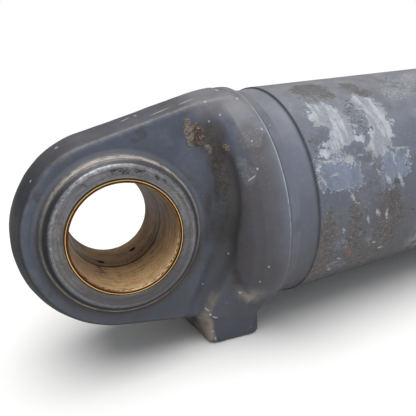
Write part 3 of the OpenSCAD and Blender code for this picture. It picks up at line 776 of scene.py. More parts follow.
        # bosses: turned, worn to the metal
        rr = m.math("SQRT", m.add(m.mul(m.x, m.x), m.mul(m.z, m.z)))
        ang = m.math("ARCTAN2", m.z, m.x)
        ring = m.noise(1.0, 4, 0.65, vec=m.vec(m.mul(rr, 0.40), m.mul(ang, 1.3), 0.0))
        ringf = m.noise(1.0, 4, 0.7, vec=m.vec(m.mul(rr, 1.5), m.mul(ang, 7.0), 3.0))
        on = m.mul(m.ramp(rr, 64.0, 62.2), m.ramp(ay, 49.0, 50.4))
        bare = m.mul(m.ramp(rr, 57.4, 55.8), m.ramp(ay, 53.0, 54.4))
        steel = m.mix(m.ramp(ring, 0.36, 0.62), (0.098, 0.092, 0.092), (0.190, 0.183, 0.184))
        steel = m.mix(m.mul(m.ramp(m.noise(24, 3, 0.5, vec=m.vmath("ADD", m.p, (40, 0, 9))), 0.42, 0.60), 0.45), steel, (0.122, 0.132, 0.158))
        steel = m.mix(m.mul(m.ramp(m.noise(8, 5, 0.7), 0.46, 0.60), 0.65), steel, (0.104, 0.088, 0.078))
        steel = m.mix(m.mul(m.ramp(rn2, 0.40, 0.34), 0.6), steel, (0.055, 0.050, 0.048))
        steel = m.mix(m.mul(m.ramp(rn2, 0.60, 0.68), 0.6), steel, (0.30, 0.30, 0.31))
        # painted shade: the turned face darker towards its lower right
        steel = m.mix(m.mul(m.ramp(m.z, 0.0, -56.0), m.ramp(m.x, -40.0, 30.0, 0.35, 0.75)), steel, (0.066, 0.056, 0.053))
        pt = m.ramp(m.add(m.mul(attribute(m, "pits"), 0.34), rn2), 0.80, 0.87)
        steel = m.mix(m.mul(pt, 0.9), steel, (0.026, 0.022, 0.020))
        col = m.mix(m.mul(bare, m.ramp(ringf, 0.26, 0.40, 0.75, 1.0)), col, steel)
        # the face's edge: rubbed bright; below it a dirty shoulder, a dark line, then the worn ridge of the foot
        lip = m.mul(m.ramp(rr, 50.0, 51.8), m.ramp(rr, 54.6, 53.8))
        lip = m.mul(m.mul(lip, m.ramp(ay, 58.2, 59.0)), m.ramp(ringf, 0.30, 0.52))
        lip = m.mul(lip, m.mul(m.ramp(m.z, -50.0, 30.0, 0.35, 1.0), m.ramp(m.x, 20.0, -30.0, 0.55, 1.0)))
        col = m.mix(m.mul(lip, 0.90), col, m.mix(m.ramp(rn2, 0.40, 0.60), (0.190, 0.196, 0.220), (0.420, 0.435, 0.480)))
        sh = m.mul(m.ramp(rr, 53.6, 54.2), m.ramp(rr, 56.0, 55.4))
        col = m.mix(m.mul(m.mul(sh, on), 0.75), col, m.mix(m.ramp(ring, 0.35, 0.6), (0.095, 0.088, 0.086), (0.160, 0.158, 0.165)))
        ln = m.mul(m.mul(m.ramp(rr, 55.0, 55.5), m.ramp(rr, 56.3, 55.8)), on)
        col = m.mix(m.mul(ln, m.ramp(m.z, -40.0, 10.0, 0.75, 0.35)), col, (0.034, 0.030, 0.030))
        ridge = m.mul(m.mul(m.ramp(rr, 56.6, 57.4), m.ramp(rr, 60.0, 59.0)), on)
        cream = m.mix(m.ramp(ringf, 0.35, 0.65), (0.165, 0.140, 0.116), (0.360, 0.330, 0.298))
        cream = m.mix(m.ramp(m.noise(9, 4, 0.7), 0.50, 0.64), cream, (0.115, 0.066, 0.036))
        cream = m.mix(m.mul(m.ramp(m.z, 0.0, -34.0), m.ramp(rr, 58.6, 59.2)), cream, m.mix(m.ramp(ring, 0.4, 0.6), (0.115, 0.076, 0.056), (0.052, 0.034, 0.026)))
        cream = m.mix(m.ramp(m.z, 10.0, -40.0, 0.0, 0.5), cream, (0.150, 0.120, 0.096))
        rw = m.mul(ridge, m.ramp(ringf, 0.26, 0.42, 0.55, 1.0))
        col = m.mix(m.mul(rw, m.ramp(m.x, 46.0, 30.0, 0.45, 0.97)), col, cream)
        hair = m.mul(m.mul(m.ramp(rr, 57.3, 57.8), m.ramp(rr, 58.8, 58.3)), m.mul(on, m.ramp(ringf, 0.38, 0.52)))
        col = m.mix(m.mul(hair, m.ramp(m.z, -50.0, 20.0, 0.55, 0.85)), col, (0.400, 0.375, 0.345))
        # painted highlight: the upper part of the fillet round the boss foot paler
        foot = m.mul(m.mul(m.ramp(rr, 59.4, 60.4), m.ramp(rr, 64.5, 62.5)), m.ramp(ay, 48.8, 49.6))
        col = m.mix(m.mul(m.mul(foot, m.ramp(m.z, -20.0, 10.0)), 0.45), col, (0.125, 0.135, 0.160))
        # the lower foot darker rust-brown, partly painted shade
        fd = m.mul(m.mul(foot, m.ramp(m.z, -8.0, -30.0)), m.ramp(m.noise(9, 4, 0.7), 0.34, 0.55))
        col = m.mix(m.mul(fd, 0.7), col, (0.050, 0.030, 0.021))
        # the housing bore behind the bushes is painted near black
        hb = m.mul(m.ramp(rr, 43.2, 42.9), m.ramp(ay, 59.6, 59.2))
        col = m.mix(hb, col, (0.010, 0.008, 0.007))
        # painted highlight along the cap's edge, painted shade in the step beside it
        rx = m.math("SQRT", m.add(m.mul(m.y, m.y), m.mul(m.z, m.z)))
        cr = m.mul(m.mul(m.ramp(m.x, 110.3, 110.9), m.ramp(m.x, 112.2, 111.8)), m.ramp(rx, 98.6, 99.8))
        col = m.mix(m.mul(m.mul(cr, m.ramp(m.noise(12, 5, 0.75), 0.36, 0.52, 0.15, 1.0)), 0.85), col, (0.36, 0.38, 0.41))
        cd = m.mul(m.mul(m.ramp(m.x, 111.8, 112.3), m.ramp(m.x, 115.0, 112.8)), m.ramp(rx, 97.6, 98.2))
        col = m.mix(m.mul(cd, 0.50), col, (0.040, 0.042, 0.052))
        # painted shade: lower parts, downward faces and the round nose's left-facing side darker
        col = m.mix(m.ramp(m.z, 40.0, -90.0, 0.0, 0.60), col, (0.034, 0.034, 0.040))
        col = m.mix(m.mul(m.ramp(nz, -0.1, -0.7), m.ramp(m.x, 60.0, 0.0)), col, (0.014, 0.015, 0.019))
        col = m.mix(m.mul(m.ramp(nx, 0.1, -0.8), m.ramp(m.x, 0.0, -66.0, 0.0, 0.97)), col, (0.010, 0.011, 0.014))
        # painted shade below the boss on its lower right
        bd = m.mul(m.mul(m.ramp(rr, 50.5, 54.0), on), m.mul(m.ramp(m.z, -16.0, -42.0), m.ramp(m.x, -8.0, 22.0)))
        col = m.mix(m.mul(bd, m.ramp(mid, 0.3, 0.6, 0.55, 0.8)), col, (0.046, 0.033, 0.028))
        # cream on the lower ridge, and a pale lower lip
        col = m.mix(m.mul(m.mul(hair, m.ramp(m.z, 15.0, -25.0)), m.ramp(m.x, 40.0, 15.0, 0.25, 0.80)), col, m.mix(m.ramp(ring, 0.38, 0.62), (0.200, 0.165, 0.135), (0.400, 0.350, 0.300)))
        col = m.mix(m.mul(m.mul(lip, m.ramp(m.z, 10.0, -30.0)), 0.6), col, (0.300, 0.305, 0.330))
        # painted shade: the lower cap and downward faces darker
        col = m.mix(m.mul(m.mul(capward, m.ramp(m.z, 40.0, -70.0)), 0.50), col, (0.040, 0.036, 0.040))
        col = m.mix(m.mul(low, 0.30), col, (0.040, 0.038, 0.040))
        col = m.mix(m.mul(pf, 0.85), col, m.mix(m.ramp(big2, 0.35, 0.6), (0.200, 0.168, 0.135), (0.290, 0.250, 0.205)))
        height = m.add(height, m.mul(mid, 1.4))
        height = m.add(height, m.mul(crust, 1.6))
        height = m.add(height, m.mul(pt, -0.9))
        rough = m.lerp(m.mx(stain_shade_mask, re), rough, 0.66)
        rough = m.lerp(bare, rough, 0.36)
        # caked dirt on the nose and the underside is matt
        matt = m.mul(m.mx(m.mul(m.ramp(nx, 0.1, -0.6), m.ramp(m.z, 40.0, 0.0)), m.ramp(nz, -0.1, -0.6)), m.ramp(m.x, 80.0, 50.0))
        rough = m.lerp(m.mul(matt, 0.92), rough, 0.92)
        for c, r in CHIPS:
            d = m.vmath("SUBTRACT", m.p, c)
            q = m.ramp(m.vmath("DOT_PRODUCT", d, d), r * r, r * r * 0.3)
            chips = q if chips is None else m.mx(chips, q)
        for c, r, t in STROKES:
            chips = m.mx(chips, m.mul(m.blob(m.p, c, r, 0.5, t), m.ramp(rn2, 0.34, 0.46)))
        scf = m.mul(ragged(m, attribute(m, "scuff"), rn, 1.9, 0.55, 0.30), m.ramp(rn2, 0.50, 0.60, 0.30, 1.0))
        col = m.mix(m.mul(scf, 0.34), col, (0.28, 0.295, 0.33))
        metal_mask = m.mul(bare, 0.55)
    else:
        metal_mask = None
        brk = m.noise(4.6, 6, 0.75)
        brk2 = m.noise(1.8, 5, 0.72)
        # painted top light: upward faces paler
        top = m.mul(m.ramp(nz, 0.35, 1.0), m.ramp(mid, 0.25, 0.65, 0.45, 1.0))
        col = m.mix(m.mul(top, 0.68), col, (0.270, 0.267, 0.274))
        # painted shade: downward faces and lower parts darker
        col = m.mix(m.mul(low, 0.50), col, (0.066, 0.064, 0.070))
        zlow = m.ramp(m.z, 56.0, -74.0, 0.0, 0.88)
        col = m.mix(zlow, col, (0.036, 0.036, 0.044))
        if kind == "barrel":
            arc = m.mul(m.math("ARCTAN2", m.z, m.mul(m.y, -1.0)), 98.5)
            uv = m.vec(m.x, arc, 0.0)
            jag = m.noise(9.0, 6, 0.72)
            uw = m.vec(m.add(m.x, m.add(m.mul(m.add(jag, -0.5), 46.0), m.mul(m.add(brk, -0.5), 14.0))), m.add(arc, m.add(m.mul(m.add(mid, -0.5), 40.0), m.mul(m.add(brk2, -0.5), 12.0))), 0.0)
            uf = m.vec(m.add(m.x, m.mul(m.add(brk, -0.5), 11.0)), m.add(arc, m.mul(m.add(brk2, -0.5), 9.0)), 0.0)
            sw = m.noise(1.0, 4, 0.6, vec=m.vec(m.mul(m.x, 0.16), m.mul(arc, 0.035), 0.0))
            # brown stains on top
            st = ragged(m, splash(m, uw, BROWN, grow=1.35), brk, 2.0, 0.46, 0.20)
            col = m.mix(m.mul(st, 0.75), col, m.mix(m.ramp(brk, 0.4, 0.6), (0.070, 0.064, 0.060), (0.125, 0.115, 0.106)))
            # rubbed pale patches, brushed round the barrel
            rubn = ragged(m, splash(m, uw, RUB, grow=1.42), brk, 1.0, 0.40, 0.22)
            rubc = m.mix(m.ramp(sw, 0.40, 0.60), (0.270, 0.282, 0.318), (0.450, 0.468, 0.520))
            col = m.mix(m.mul(rubn, m.mul(m.ramp(brk2, 0.34, 0.54, 0.65, 0.98), m.ramp(jag, 0.34, 0.48, 0.60, 1.0))), col, rubc)
            # bluish film with a pale broken outline
            fs = m.add(splash(m, uw, FILM, grow=1.35), m.mul(m.add(jag, -0.5), 0.8))
            film = m.mul(m.mul(m.ramp(fs, 0.22, 0.66), m.ramp(mid, 0.30, 0.60, 0.45, 1.0)), m.ramp(rubn, 0.9, 0.3))
            col = m.mix(m.mul(film, m.ramp(brk, 0.3, 0.6, 0.35, 0.75)), col, m.mix(m.ramp(sw, 0.35, 0.65), (0.150, 0.186, 0.262), (0.205, 0.248, 0.335)))
            rimf = m.mul(m.mul(m.ramp(fs, 0.30, 0.36), m.ramp(fs, 0.50, 0.42)), m.ramp(brk2, 0.44, 0.54, 0.05, 1.0))
            col = m.mix(m.mul(rimf, 0.85), col, (0.50, 0.54, 0.60))
            # crazed, pitted paint between the rubbed patches
            fz = m.ramp(splash(m, uw, FLECK, grow=1.3), 0.15, 0.7)
            col = m.mix(m.mul(m.mul(fz, m.ramp(brk2, 0.50, 0.58)), 0.85), col, (0.052, 0.052, 0.058))
            col = m.mix(m.mul(m.mul(fz, m.ramp(brk2, 0.44, 0.38)), 0.55), col, (0.30, 0.31, 0.33))
            # grime low down near the weld
            grn = ragged(m, splash(m, uw, GRIME, grow=1.35), brk, 1.9, 0.44, 0.26)
            gcol = m.mix(m.ramp(brk, 0.36, 0.60), (0.046, 0.042, 0.042), (0.100, 0.084, 0.076))
            gcol = m.mix(m.mul(m.ramp(brk2, 0.54, 0.62), 0.8), gcol, (0.190, 0.185, 0.198))
            gcol = m.mix(m.mul(m.ramp(brk2, 0.42, 0.34), 0.8), gcol, (0.030, 0.025, 0.024))
            col = m.mix(m.mul(grn, 0.85), col, gcol)
            pl = m.mul(m.ramp(splash(m, uw, PALE, grow=1.2), 0.2, 0.6), m.ramp(brk, 0.46, 0.60))
            col = m.mix(m.mul(pl, 0.5), col, (0.21, 0.235, 0.29))
            rs = m.mul(splash(m, uf, RUST, 0.9, 1.6), m.ramp(brk2, 0.36, 0.52))
            col = m.mix(m.mul(rs, 0.65), col, (0.22, 0.085, 0.045))
            # wear and stains further along and round the back
            an = m.mul(m.ramp(m.noise(46, 3, 0.5, vec=m.vmath("ADD", m.p, (11, 57, 23))), 0.52, 0.62), m.ramp(jag, 0.42, 0.56))
            col = m.mix(m.mul(m.mul(an, m.ramp(m.x, 235.0, 262.0)), 0.55), col, (0.27, 0.285, 0.33))
            an2 = m.mul(m.ramp(m.noise(60, 3, 0.5, vec=m.vmath("ADD", m.p, (91, 7, 63))), 0.55, 0.66), m.ramp(brk, 0.42, 0.58))
            col = m.mix(m.mul(an2, 0.55), col, (0.078, 0.068, 0.060))
            # white flecks upper right, single flicks and dots
            fk1 = m.mul(m.ramp(m.add(m.noise(1.7, 4, 0.8, vec=m.vec(m.mul(m.x, 0.55), m.mul(arc, 1.3), 5.0)), m.mul(splash(m, uv, SPRINKLE), 0.13)), 0.61, 0.66), m.ramp(mid, 0.30, 0.50))
            col = m.mix(m.mul(fk1, 0.6), col, (0.42, 0.43, 0.47))
            chips = m.mul(splash(m, uf, FLICKS, 0.8, 1.4), m.ramp(brk2, 0.34, 0.48))
            col = m.mix(m.mul(splash(m, uv, DOTS, 0.5, 1.1), 0.85), col, (0.028, 0.028, 0.034))
            height = m.add(height, m.mul(rubn, -0.35))
            height = m.add(height, m.mul(m.ramp(jag, 0.45, 0.75), m.mul(brk2, 1.5)))
            height = m.add(height, m.mul(mid, 0.9))
            rough = m.lerp(rubn, rough, 0.34)
            rough = m.lerp(grn, rough, 0.68)
            # dirt and painted shade in the corner beside the weld
            stp = m.mul(m.ramp(m.x, 141.4, 140.0), m.ramp(brk, 0.2, 0.5, 0.5, 1.0))
            col = m.mix(m.mul(stp, m.ramp(m.z, -60.0, 20.0, 0.35, 0.70)), col, (0.040, 0.041, 0.050))
        else:
            height = m.add(height, m.mul(mid, 1.0))
            if kind == "weld":
                # dirt and painted shade in the corner beside the barrel
                stp = m.mul(m.ramp(m.x, 136.6, 138.9), m.ramp(brk, 0.2, 0.5, 0.6, 1.0))
                col = m.mix(m.mul(stp, m.ramp(m.z, -60.0, 20.0, 0.35, 0.75)), col, (0.040, 0.042, 0.052))
            gsp = m.mul(m.ramp(m.noise(30, 4, 0.6), 0.52, 0.66), m.ramp(brk2, 0.46, 0.58))
            col = m.mix(m.mul(gsp, 0.35), col, (0.060, 0.052, 0.048))
    # small random specks all over
    vv = m.t.nodes.new("ShaderNodeTexVoronoi")
    vv.inputs["Scale"].default_value = 1.0 / 11.0
    m.link(m.p, vv.inputs["Vector"])
    vr = m.t.nodes.new("ShaderNodeTexWhiteNoise")
    m.link(vv.outputs["Position"], vr.inputs["Vector"])
    spk = m.mul(m.ramp(m.add(vv.outputs["Distance"], m.mul(grain, 0.05)), 0.080, 0.050), m.ramp(vr.outputs["Value"], 0.74, 0.80))
    if bare is not None:
        spk = m.mul(spk, m.ramp(bare, 0.3, 0.1))
    spk = m.mul(spk, 0.55)
    if chips is not None:
        spk = m.mx(spk, chips)
    col = m.mix(m.mul(spk, 0.75), col, (0.42, 0.42, 0.43))
    # fine long scratches
    sv = m.vec(m.mul(m.x, 0.18), m.mul(m.y, 1.6), m.mul(m.z, 1.6))
    scr = m.mul(m.ramp(m.noise(1.3, 2, 0.5, vec=m.warp(sv, 14, 5)), 0.66, 0.70), m.ramp(big, 0.5, 0.6))
    col = m.mix(m.mul(scr, 0.22), col, (0.30, 0.31, 0.34))
    col = m.mix(m.mul(m.ramp(grain, 0.35, 0.75), 0.08), col, (0.24, 0.25, 0.28))
    height = m.add(height, m.mul(grain, 0.12))
    m.set(Base_Color=col, Roughness=rough, Normal=m.bump(height, 0.70, 0.60))
    m.bsdf.inputs["Specular IOR Level"].default_value = 0.42
    if metal_mask is not None:
        m.set(Metallic=metal_mask)
    return m.m


def metal(name, a, b, rough=(0.25, 0.4), size=3.0, axis="x", metallic=1.0, grime=0.4, grime_col=(0.05, 0.042, 0.035), lines=1.0, bumpd=0.08, spots=0.0):
    """Turned or ground metal: rings about the axis, oil, grime in patches and small marks."""
    m = Mat(name)
    a1, a2, along = {"x": (m.y, m.z, m.x), "y": (m.x, m.z, m.y), "z": (m.x, m.y, m.z)}[axis]
    rad = m.math("SQRT", m.add(m.mul(a1, a1), m.mul(a2, a2)))
    rings = m.noise(0.9, 3, 0.6, vec=m.vec(m.mul(along, 1.0), m.mul(rad, 1.0), 3.3))
    fine = m.noise(size, 4, 0.6)
    blot = m.noise(26, 5, 0.6)
    col = m.mix(m.ramp(rings, 0.3, 0.7), a, b)
    col = m.mix(m.mul(m.ramp(fine, 0.45, 0.75), 0.35), col, tuple(0.6 * v for v in a))
    gm = m.mul(m.ramp(blot, 0.48, 0.68), m.ramp(m.noise(5, 5, 0.7), 0.35, 0.6))
    col = m.mix(m.mul(gm, grime), col, grime_col)
    if spots:
        sp = m.mul(m.ramp(m.noise(1.5, 3, 0.7), 0.62, 0.68), m.ramp(blot, 0.4, 0.6))
        col = m.mix(m.mul(sp, spots), col, (0.16, 0.07, 0.03))
    ro = m.add(m.ramp(fine, 0.3, 0.7, rough[0], rough[1], smooth=False), m.mul(gm, 0.25))
    h = m.add(m.mul(rings, lines), m.mul(fine, 0.4))
    m.set(Base_Color=col, Roughness=ro, Normal=m.bump(h, bumpd, 0.5))
    m.bsdf.inputs["Metallic"].default_value = metallic
    return m.m


def bronze_bush(name, cx=0.0):
    """Wrapped bronze bush: bright rolled rim, streaked and oil-stained bore, with painted light on the bore's lower
    side and painted shade on its upper wall, far end and rim chamfer.
    """
    m = Mat(name)
    X = m.add(m.x, -cx)
    rr = m.math("SQRT", m.add(m.mul(X, X), m.mul(m.z, m.z)))
    ang = m.math("ARCTAN2", m.z, X)
    ay = m.math("ABSOLUTE", m.y)
    arc = m.mul(ang, 40.0)
    # streaks run round the bore
    st = m.noise(1.0, 5, 0.65, vec=m.vec(m.mul(m.y, 0.30), m.mul(arc, 0.022), m.mul(rr, 0.2)))
    st2 = m.noise(1.0, 4, 0.6, vec=m.vec(m.mul(m.y, 0.95), m.mul(arc, 0.05), 7.0))
    blot = m.noise(1.0, 5, 0.65, vec=m.vec(m.mul(m.y, 0.09), m.mul(arc, 0.05), 4.0))
    spot = m.noise(1.0, 4, 0.75, vec=m.vec(m.mul(m.y, 0.42), m.mul(arc, 0.30), 9.0))
    col = m.mix(m.ramp(st, 0.34, 0.66), (0.265, 0.150, 0.064), (0.510, 0.325, 0.158))
    col = m.mix(m.mul(m.ramp(st2, 0.50, 0.72), 0.50), col, (0.62, 0.40, 0.20))
    col = m.mix(m.mul(m.ramp(blot, 0.50, 0.68), 0.6), col, (0.185, 0.100, 0.044))
    # painted light on the bore's lower, upward-facing side
    pale = m.mul(m.ramp(m.z, -4.0, -34.0), m.ramp(st, 0.3, 0.6, 0.5, 1.0))
    col = m.mix(m.mul(pale, 0.55), col, (0.700, 0.480, 0.260))
    # painted shadow on the bore's upper right wall
    dk = m.mul(m.ramp(m.z, -22.0, 14.0), m.mul(m.ramp(X, 10.0, 32.0), m.ramp(m.y, -40.0, 10.0, 0.8, 1.0)))
    col = m.mix(m.mul(dk, 0.90), col, (0.060, 0.026, 0.007))
    # painted shade towards the far end of the bore, most on its upper side
    far = m.ramp(m.y, 12.0, 56.0)
    col = m.mix(m.mul(far, m.ramp(m.z, -34.0, -8.0, 0.20, 0.90)), col, (0.105, 0.048, 0.014))
    col = m.mix(m.mul(m.ramp(spot, 0.60, 0.67), 0.78), col, (0.035, 0.022, 0.014))
    dirt = m.noise(1.0, 5, 0.75, vec=m.vec(m.mul(m.y, 0.22), m.mul(arc, 0.09), 31.0))
    col = m.mix(m.mul(m.ramp(dirt, 0.51, 0.61), m.ramp(m.y, -44.0, -10.0, 0.40, 0.80)), col, (0.115, 0.070, 0.036))
    # where the two bushes meet, and at the mouth
    seam = m.ramp(m.add(ay, m.mul(m.add(spot, -0.5), 3.4)), 3.0, 1.0)
    col = m.mix(m.mul(seam, 0.9), col, (0.022, 0.014, 0.009))
    band = m.mul(m.ramp(m.math("ABSOLUTE", m.add(m.y, -10.0)), 13.0, 3.0), m.ramp(spot, 0.38, 0.52))
    col = m.mix(m.mul(band, 0.55), col, (0.060, 0.037, 0.020))
    # painted light on the lower side of the bore's far half
    deep = m.mul(m.ramp(m.z, -24.0, -36.0), m.ramp(m.y, 4.0, 22.0))
    col = m.mix(m.mul(deep, m.ramp(spot, 0.56, 0.44, 0.1, 0.55)), col, (0.620, 0.430, 0.235))
    # split line of the wrapped strip
    sl = m.math("ABSOLUTE", m.add(m.add(arc, m.mul(ay, -0.205)), m.add(m.mul(spot, 1.5), 84.6)))
    sm = m.mul(m.mul(m.ramp(sl, 0.9, 0.3), m.ramp(ay, 26.0, 20.0)), m.ramp(m.y, 1.0, -1.0))
    col = m.mix(m.mul(sm, 0.7), col, (0.050, 0.030, 0.018))
    # black grease about the oil holes
    for hx, hy in ((15.0, 30.0), (-17.0, 13.0)):
        hz = -math.sqrt(1600 - hx * hx)
        d = m.vmath("SUBTRACT", m.p, (hx + cx, hy, hz))
        q = m.add(m.vmath("DOT_PRODUCT", d, d), m.mul(m.add(spot, -0.5), 14.0))
        col = m.mix(m.mul(m.ramp(q, 17.0, 9.5), 0.97), col, (0.008, 0.006, 0.005))
    glint = m.mul(m.mul(m.ramp(m.y, -53.5, -55.5), m.ramp(m.z, 8.0, -14.0)), m.mul(m.ramp(X, -16.0, 4.0), m.ramp(st2, 0.34, 0.50)))
    col = m.mix(m.mul(glint, 0.7), col, (0.80, 0.66, 0.46))
    mouth = m.ramp(ay, 54.4, 57.2)
    col = m.mix(m.mul(m.mul(mouth, m.ramp(spot, 0.48, 0.53)), 0.93), col, (0.024, 0.013, 0.010))
    rim = m.mul(m.ramp(ay, 58.2, 58.8), m.ramp(rr, 40.0, 40.25))
    gold = m.mix(m.ramp(st, 0.3, 0.7), (0.66, 0.38, 0.13), (0.86, 0.55, 0.23))
    gold = m.mix(m.mul(m.ramp(m.noise(1.0, 4, 0.7, vec=m.vec(0.0, m.mul(arc, 0.22), m.mul(rr, 0.6))), 0.58, 0.68), 0.55), gold, (0.24, 0.12, 0.045))
    # painted shade in the chamfer between the rim's two bright lips
    gold = m.mix(m.mul(m.ramp(m.math("ABSOLUTE", m.add(rr, -41.15)), 0.72, 0.42), 0.98), gold, (0.040, 0.014, 0.007))
    gold = m.mix(m.mul(m.mul(m.ramp(rr, 41.2, 40.9), m.ramp(X, 0.0, -30.0)), 0.75), gold, (0.180, 0.060, 0.030))
    col = m.mix(rim, col, gold)
    ro = m.lerp(rim, m.ramp(blot, 0.3, 0.7, 0.55, 0.72, smooth=False), 0.30)
    m.bsdf.inputs["Specular IOR Level"].default_value = 0.30
    h = m.add(m.mul(st, 0.6), m.add(m.mul(st2, 0.4), m.mul(m.ramp(spot, 0.64, 0.72), -0.6)))
    m.set(Base_Color=col, Metallic=m.ramp(rim, 0.0, 1.0, 0.08, 0.85, smooth=False), Roughness=ro, Normal=m.bump(h, 0.20, 0.5))
    return m.m


def rubber(name, base):
    m = Mat(name)
    f = m.noise(0.7, 4, 0.65)
    b = m.noise(9, 4, 0.6)
    col = m.mix(m.ramp(f, 0.3, 0.7), base, tuple(v * 1.9 for v in base))
    col = m.mix(m.mul(m.ramp(b, 0.5, 0.7), 0.35), col, (0.10, 0.095, 0.085))
    m.set(Base_Color=col, Roughness=m.ramp(b, 0.3, 0.7, 0.55, 0.78, smooth=False), Normal=m.bump(f, 0.12, 0.5))
    return m.m


def resin(name):
    """Fabric-filled resin: a fine square weave under a turned face."""
    m = Mat(name)
    arc = m.mul(m.math("ARCTAN2", m.z, m.y), 70.0)
    w1 = m.math("SINE", m.mul(m.x, 4.2))
    w2 = m.math("SINE", m.mul(arc, 4.2))
    w = m.mul(w1, w2)
    n = m.noise(6, 4, 0.6)
    col = m.mix(m.ramp(w, -0.4, 0.6), (0.20, 0.105, 0.045), (0.34, 0.20, 0.10))
    col = m.mix(m.mul(m.ramp(n, 0.45, 0.7), 0.4), col, (0.12, 0.07, 0.035))
    m.set(Base_Color=col, Roughness=m.ramp(n, 0.3, 0.7, 0.45, 0.6, smooth=False), Normal=m.bump(m.add(m.mul(w, 0.4), n), 0.1, 0.4))
    return m.m


M_CAST = paint("painted_casting", "casting")
M_WELD = paint("painted_weld", "weld")
M_BARREL = paint("painted_barrel", "barrel")
M_ROD = paint("painted_rod_eye", "rod")
M_BUSH = bronze_bush("bush_bronze")
M_BUSH_ROD = bronze_bush("bush_bronze_rod", 1100.0)
M_BEAR = metal("bearing_bronze", (0.46, 0.29, 0.13), (0.62, 0.42, 0.20), (0.28, 0.42))
M_PHOS = metal("phosphated_steel", (0.055, 0.056, 0.060), (0.092, 0.092, 0.096), (0.42, 0.58), metallic=0.7, grime=0.45, spots=0.5)
M_GROUND = metal("ground_steel", (0.42, 0.43, 0.45), (0.56, 0.57, 0.58), (0.20, 0.34), grime=0.25, grime_col=(0.18, 0.15, 0.11), bumpd=0.05)
M_CHROME = metal("chromed_steel", (0.58, 0.60, 0.63), (0.68, 0.70, 0.72), (0.10, 0.20), grime=0.2, grime_col=(0.28, 0.25, 0.2), bumpd=0.03, lines=0.6)
M_TURN = metal("turned_steel", (0.34, 0.34, 0.35), (0.48, 0.48, 0.49), (0.28, 0.42), grime=0.3)
M_SPRING = metal("spring_steel", (0.16, 0.16, 0.17), (0.26, 0.26, 0.27), (0.30, 0.45), grime=0.35)
M_ZINC = metal("zinc_steel", (0.50, 0.44, 0.24), (0.62, 0.58, 0.42), (0.30, 0.45), axis="z", grime=0.35)
M_SEAL = rubber("seal_rubber", (0.018, 0.018, 0.020))
M_WIPER = rubber("wiper_rubber", (0.024, 0.024, 0.027))
M_RESIN = resin("guide_polymer")

# convexity and hollowness of the casting, from its distance field, steer wear, grime and painted shade
me = eye.data
co = np.zeros(len(me.vertices) * 3)
me.vertices.foreach_get("co", co)
co = co.reshape(-1, 3) / MM
x, y, z = co.T
H = 2.4
c0 = casting(x, y, z)
lap = (casting(x + H, y, z) + casting(x - H, y, z) + casting(x, y + H, z) + casting(x, y - H, z) + casting(x, y, z + H)
       + casting(x, y, z - H) - 6 * c0) / (H * H)
H2 = 6.0
lap2 = (casting(x + H2, y, z) + casting(x - H2, y, z) + casting(x, y + H2, z) + casting(x, y - H2, z) + casting(x, y, z + H2)
        + casting(x, y, z - H2) - 6 * c0) / (H2 * H2)
edge_v = np.clip((lap - 0.045) / 0.16, 0, 1)
hollow_v = np.clip((-lap2 - 0.012) / 0.05, 0, 1)


def spots(items, grow=1.35):
    out = np.zeros(len(co))
    for c, r, t in items:
        rot = np.array(Euler([math.radians(v) for v in t]).to_matrix())
        q = (((co - np.array(c)) @ rot) / (np.array(r) * grow)) ** 2
        k = np.clip(1.0 - q.sum(1), 0, 1)
        out = np.maximum(out, k * k * (3 - 2 * k))
    return out


# the same stain and painted shade lie in the hollow on the far side, a little weaker
mirror = [((c[0] + 3, -c[1], c[2] - 4), r, (-t[0], t[1], -t[2])) for c, r, t in STAIN_AND_SHADE[1:6] + STAIN_AND_SHADE[7:]]
for nm, val in (("edge", edge_v), ("hollow", hollow_v), ("stain_and_shade", np.maximum(spots(STAIN_AND_SHADE), 0.8 * spots(mirror))), ("dark", spots(DARK, 1.5)),
                ("rust_edge", spots(RUST_EDGE, 1.0)), ("rust_core", spots(RUST_CORE, 1.0)), ("scuff", spots(SCUFF)), ("smudge", spots(SMUDGE)),
                ("pits", spots(PITS))):
    at = me.attributes.new(nm, "FLOAT", "POINT")
    at.data.foreach_set("value", val.astype(np.float32))
me.materials.clear()
me.materials.append(M_CAST)
weld.data.materials.append(M_WELD)

USE = {
    "barrel_tube": M_BARREL, "rod_eye_forging": M_ROD, "rod_eye_weld_ring": M_ROD,
    "base_eye_bush_near": M_BUSH, "base_eye_bush_far": M_BUSH, "rod_eye_bush_near": M_BUSH_ROD, "rod_eye_bush_far": M_BUSH_ROD,
    "base_eye_casting": M_CAST, "base_weld_ring": M_WELD,
}
for n in NODES:
    if n in USE:
        mt = USE[n]
    elif "gland_nut" in n:
        mt = M_PHOS
    elif "static_seal" in n or "rod_seal" in n:
        mt = M_SEAL
    elif "wiper" in n:
        mt = M_WIPER
    elif "guide_ring" in n:
        mt = M_RESIN
    elif "foot_bearing" in n:
        mt = M_BEAR
    elif "retainer" in n:
        mt = M_SPRING
    elif "stop_ring" in n or "foot_plug" in n:
        mt = M_TURN
    elif "nipple" in n or "bleed" in n:
        mt = M_ZINC
    elif n in ("plunger_tube",):
        mt = M_CHROME
    elif "tube" in n:
        mt = M_GROUND
    else:
        mt = M_TURN
    dress(n, mt)

# --------------------------------------------------------------------------
# Stage: pale floor, soft light, camera
# --------------------------------------------------------------------------
fl = bpy.data.meshes.new("floor")
S = 30.0
fl.from_pydata([(-S, -S, 0), (S, -S, 0), (S, S, 0), (-S, S, 0)], [], [(0, 1, 2, 3)])
floor = bpy.data.objects.new("floor", fl)
floor.location = (0, 0, CAD_LO.z - 0.0005)
bpy.context.scene.collection.objects.link(floor)
m = Mat("floor_pale")
m.set(Base_Color=(0.92, 0.92, 0.92), Roughness=0.9)
m.bsdf.inputs["Specular IOR Level"].default_value = 0.1
fl.materials.append(m.m)

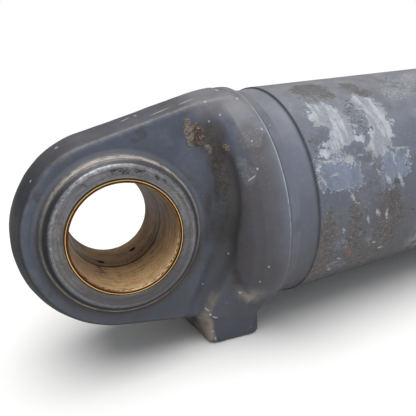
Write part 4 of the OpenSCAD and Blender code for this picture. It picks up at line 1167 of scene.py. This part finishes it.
world = bpy.data.worlds.new("soft")
bpy.context.scene.world = world
world.use_nodes = True
wt = world.node_tree
wt.nodes.clear()
wo = wt.nodes.new("ShaderNodeOutputWorld")
seen = wt.nodes.new("ShaderNodeBackground")
seen.inputs[0].default_value = (1, 1, 1, 1)
seen.inputs[1].default_value = 1.0
lit = wt.nodes.new("ShaderNodeBackground")
lit.inputs[0].default_value = (0.96, 0.98, 1.0, 1)
lit.inputs[1].default_value = 0.24
lp = wt.nodes.new("ShaderNodeLightPath")
mxs = wt.nodes.new("ShaderNodeMixShader")
wt.links.new(lp.outputs["Is Camera Ray"], mxs.inputs[0])
wt.links.new(lit.outputs[0], mxs.inputs[1])
wt.links.new(seen.outputs[0], mxs.inputs[2])
wt.links.new(mxs.outputs[0], wo.inputs[0])


def sun(name, direction, strength, angle, colour=(1, 1, 1)):
    d = bpy.data.lights.new(name, "SUN")
    d.energy = strength
    d.angle = math.radians(angle)
    d.color = colour
    o = bpy.data.objects.new(name, d)
    o.rotation_mode = "QUATERNION"
    o.rotation_quaternion = Vector(direction).to_track_quat("-Z", "Y")
    bpy.context.scene.collection.objects.link(o)
    return o


sun("overhead", (0.06, 0.24, -1.0), 2.9, 60, (1.0, 0.99, 0.97))
sun("front", (-0.20, 0.85, -0.50), 0.62, 50, (0.97, 0.98, 1.0))

R_x = Vector((0.91822378, -0.37340954, -0.13202428))
R_y = Vector((0.20483616, 0.16242838, 0.96522493))
R_z = Vector((-0.33897971, -0.91333583, 0.22563338))
cam_data = bpy.data.cameras.new("camera")
cam_data.lens = 33.434
cam_data.sensor_width = 36.0
cam_data.clip_start = 0.01
cam_data.clip_end = 100.0
cam = bpy.data.objects.new("camera", cam_data)
M = Matrix.Identity(4)
for i in range(3):
    M[i][0], M[i][1], M[i][2] = R_x[i], R_y[i], R_z[i]
M.translation = Vector((-0.036410, -0.332439, 0.076315))
cam.matrix_world = M
bpy.context.scene.collection.objects.link(cam)
bpy.context.scene.camera = cam
bpy.context.scene.view_settings.view_transform = "Standard"
bpy.context.scene.view_settings.look = "None"

bpy.context.view_layer.update()
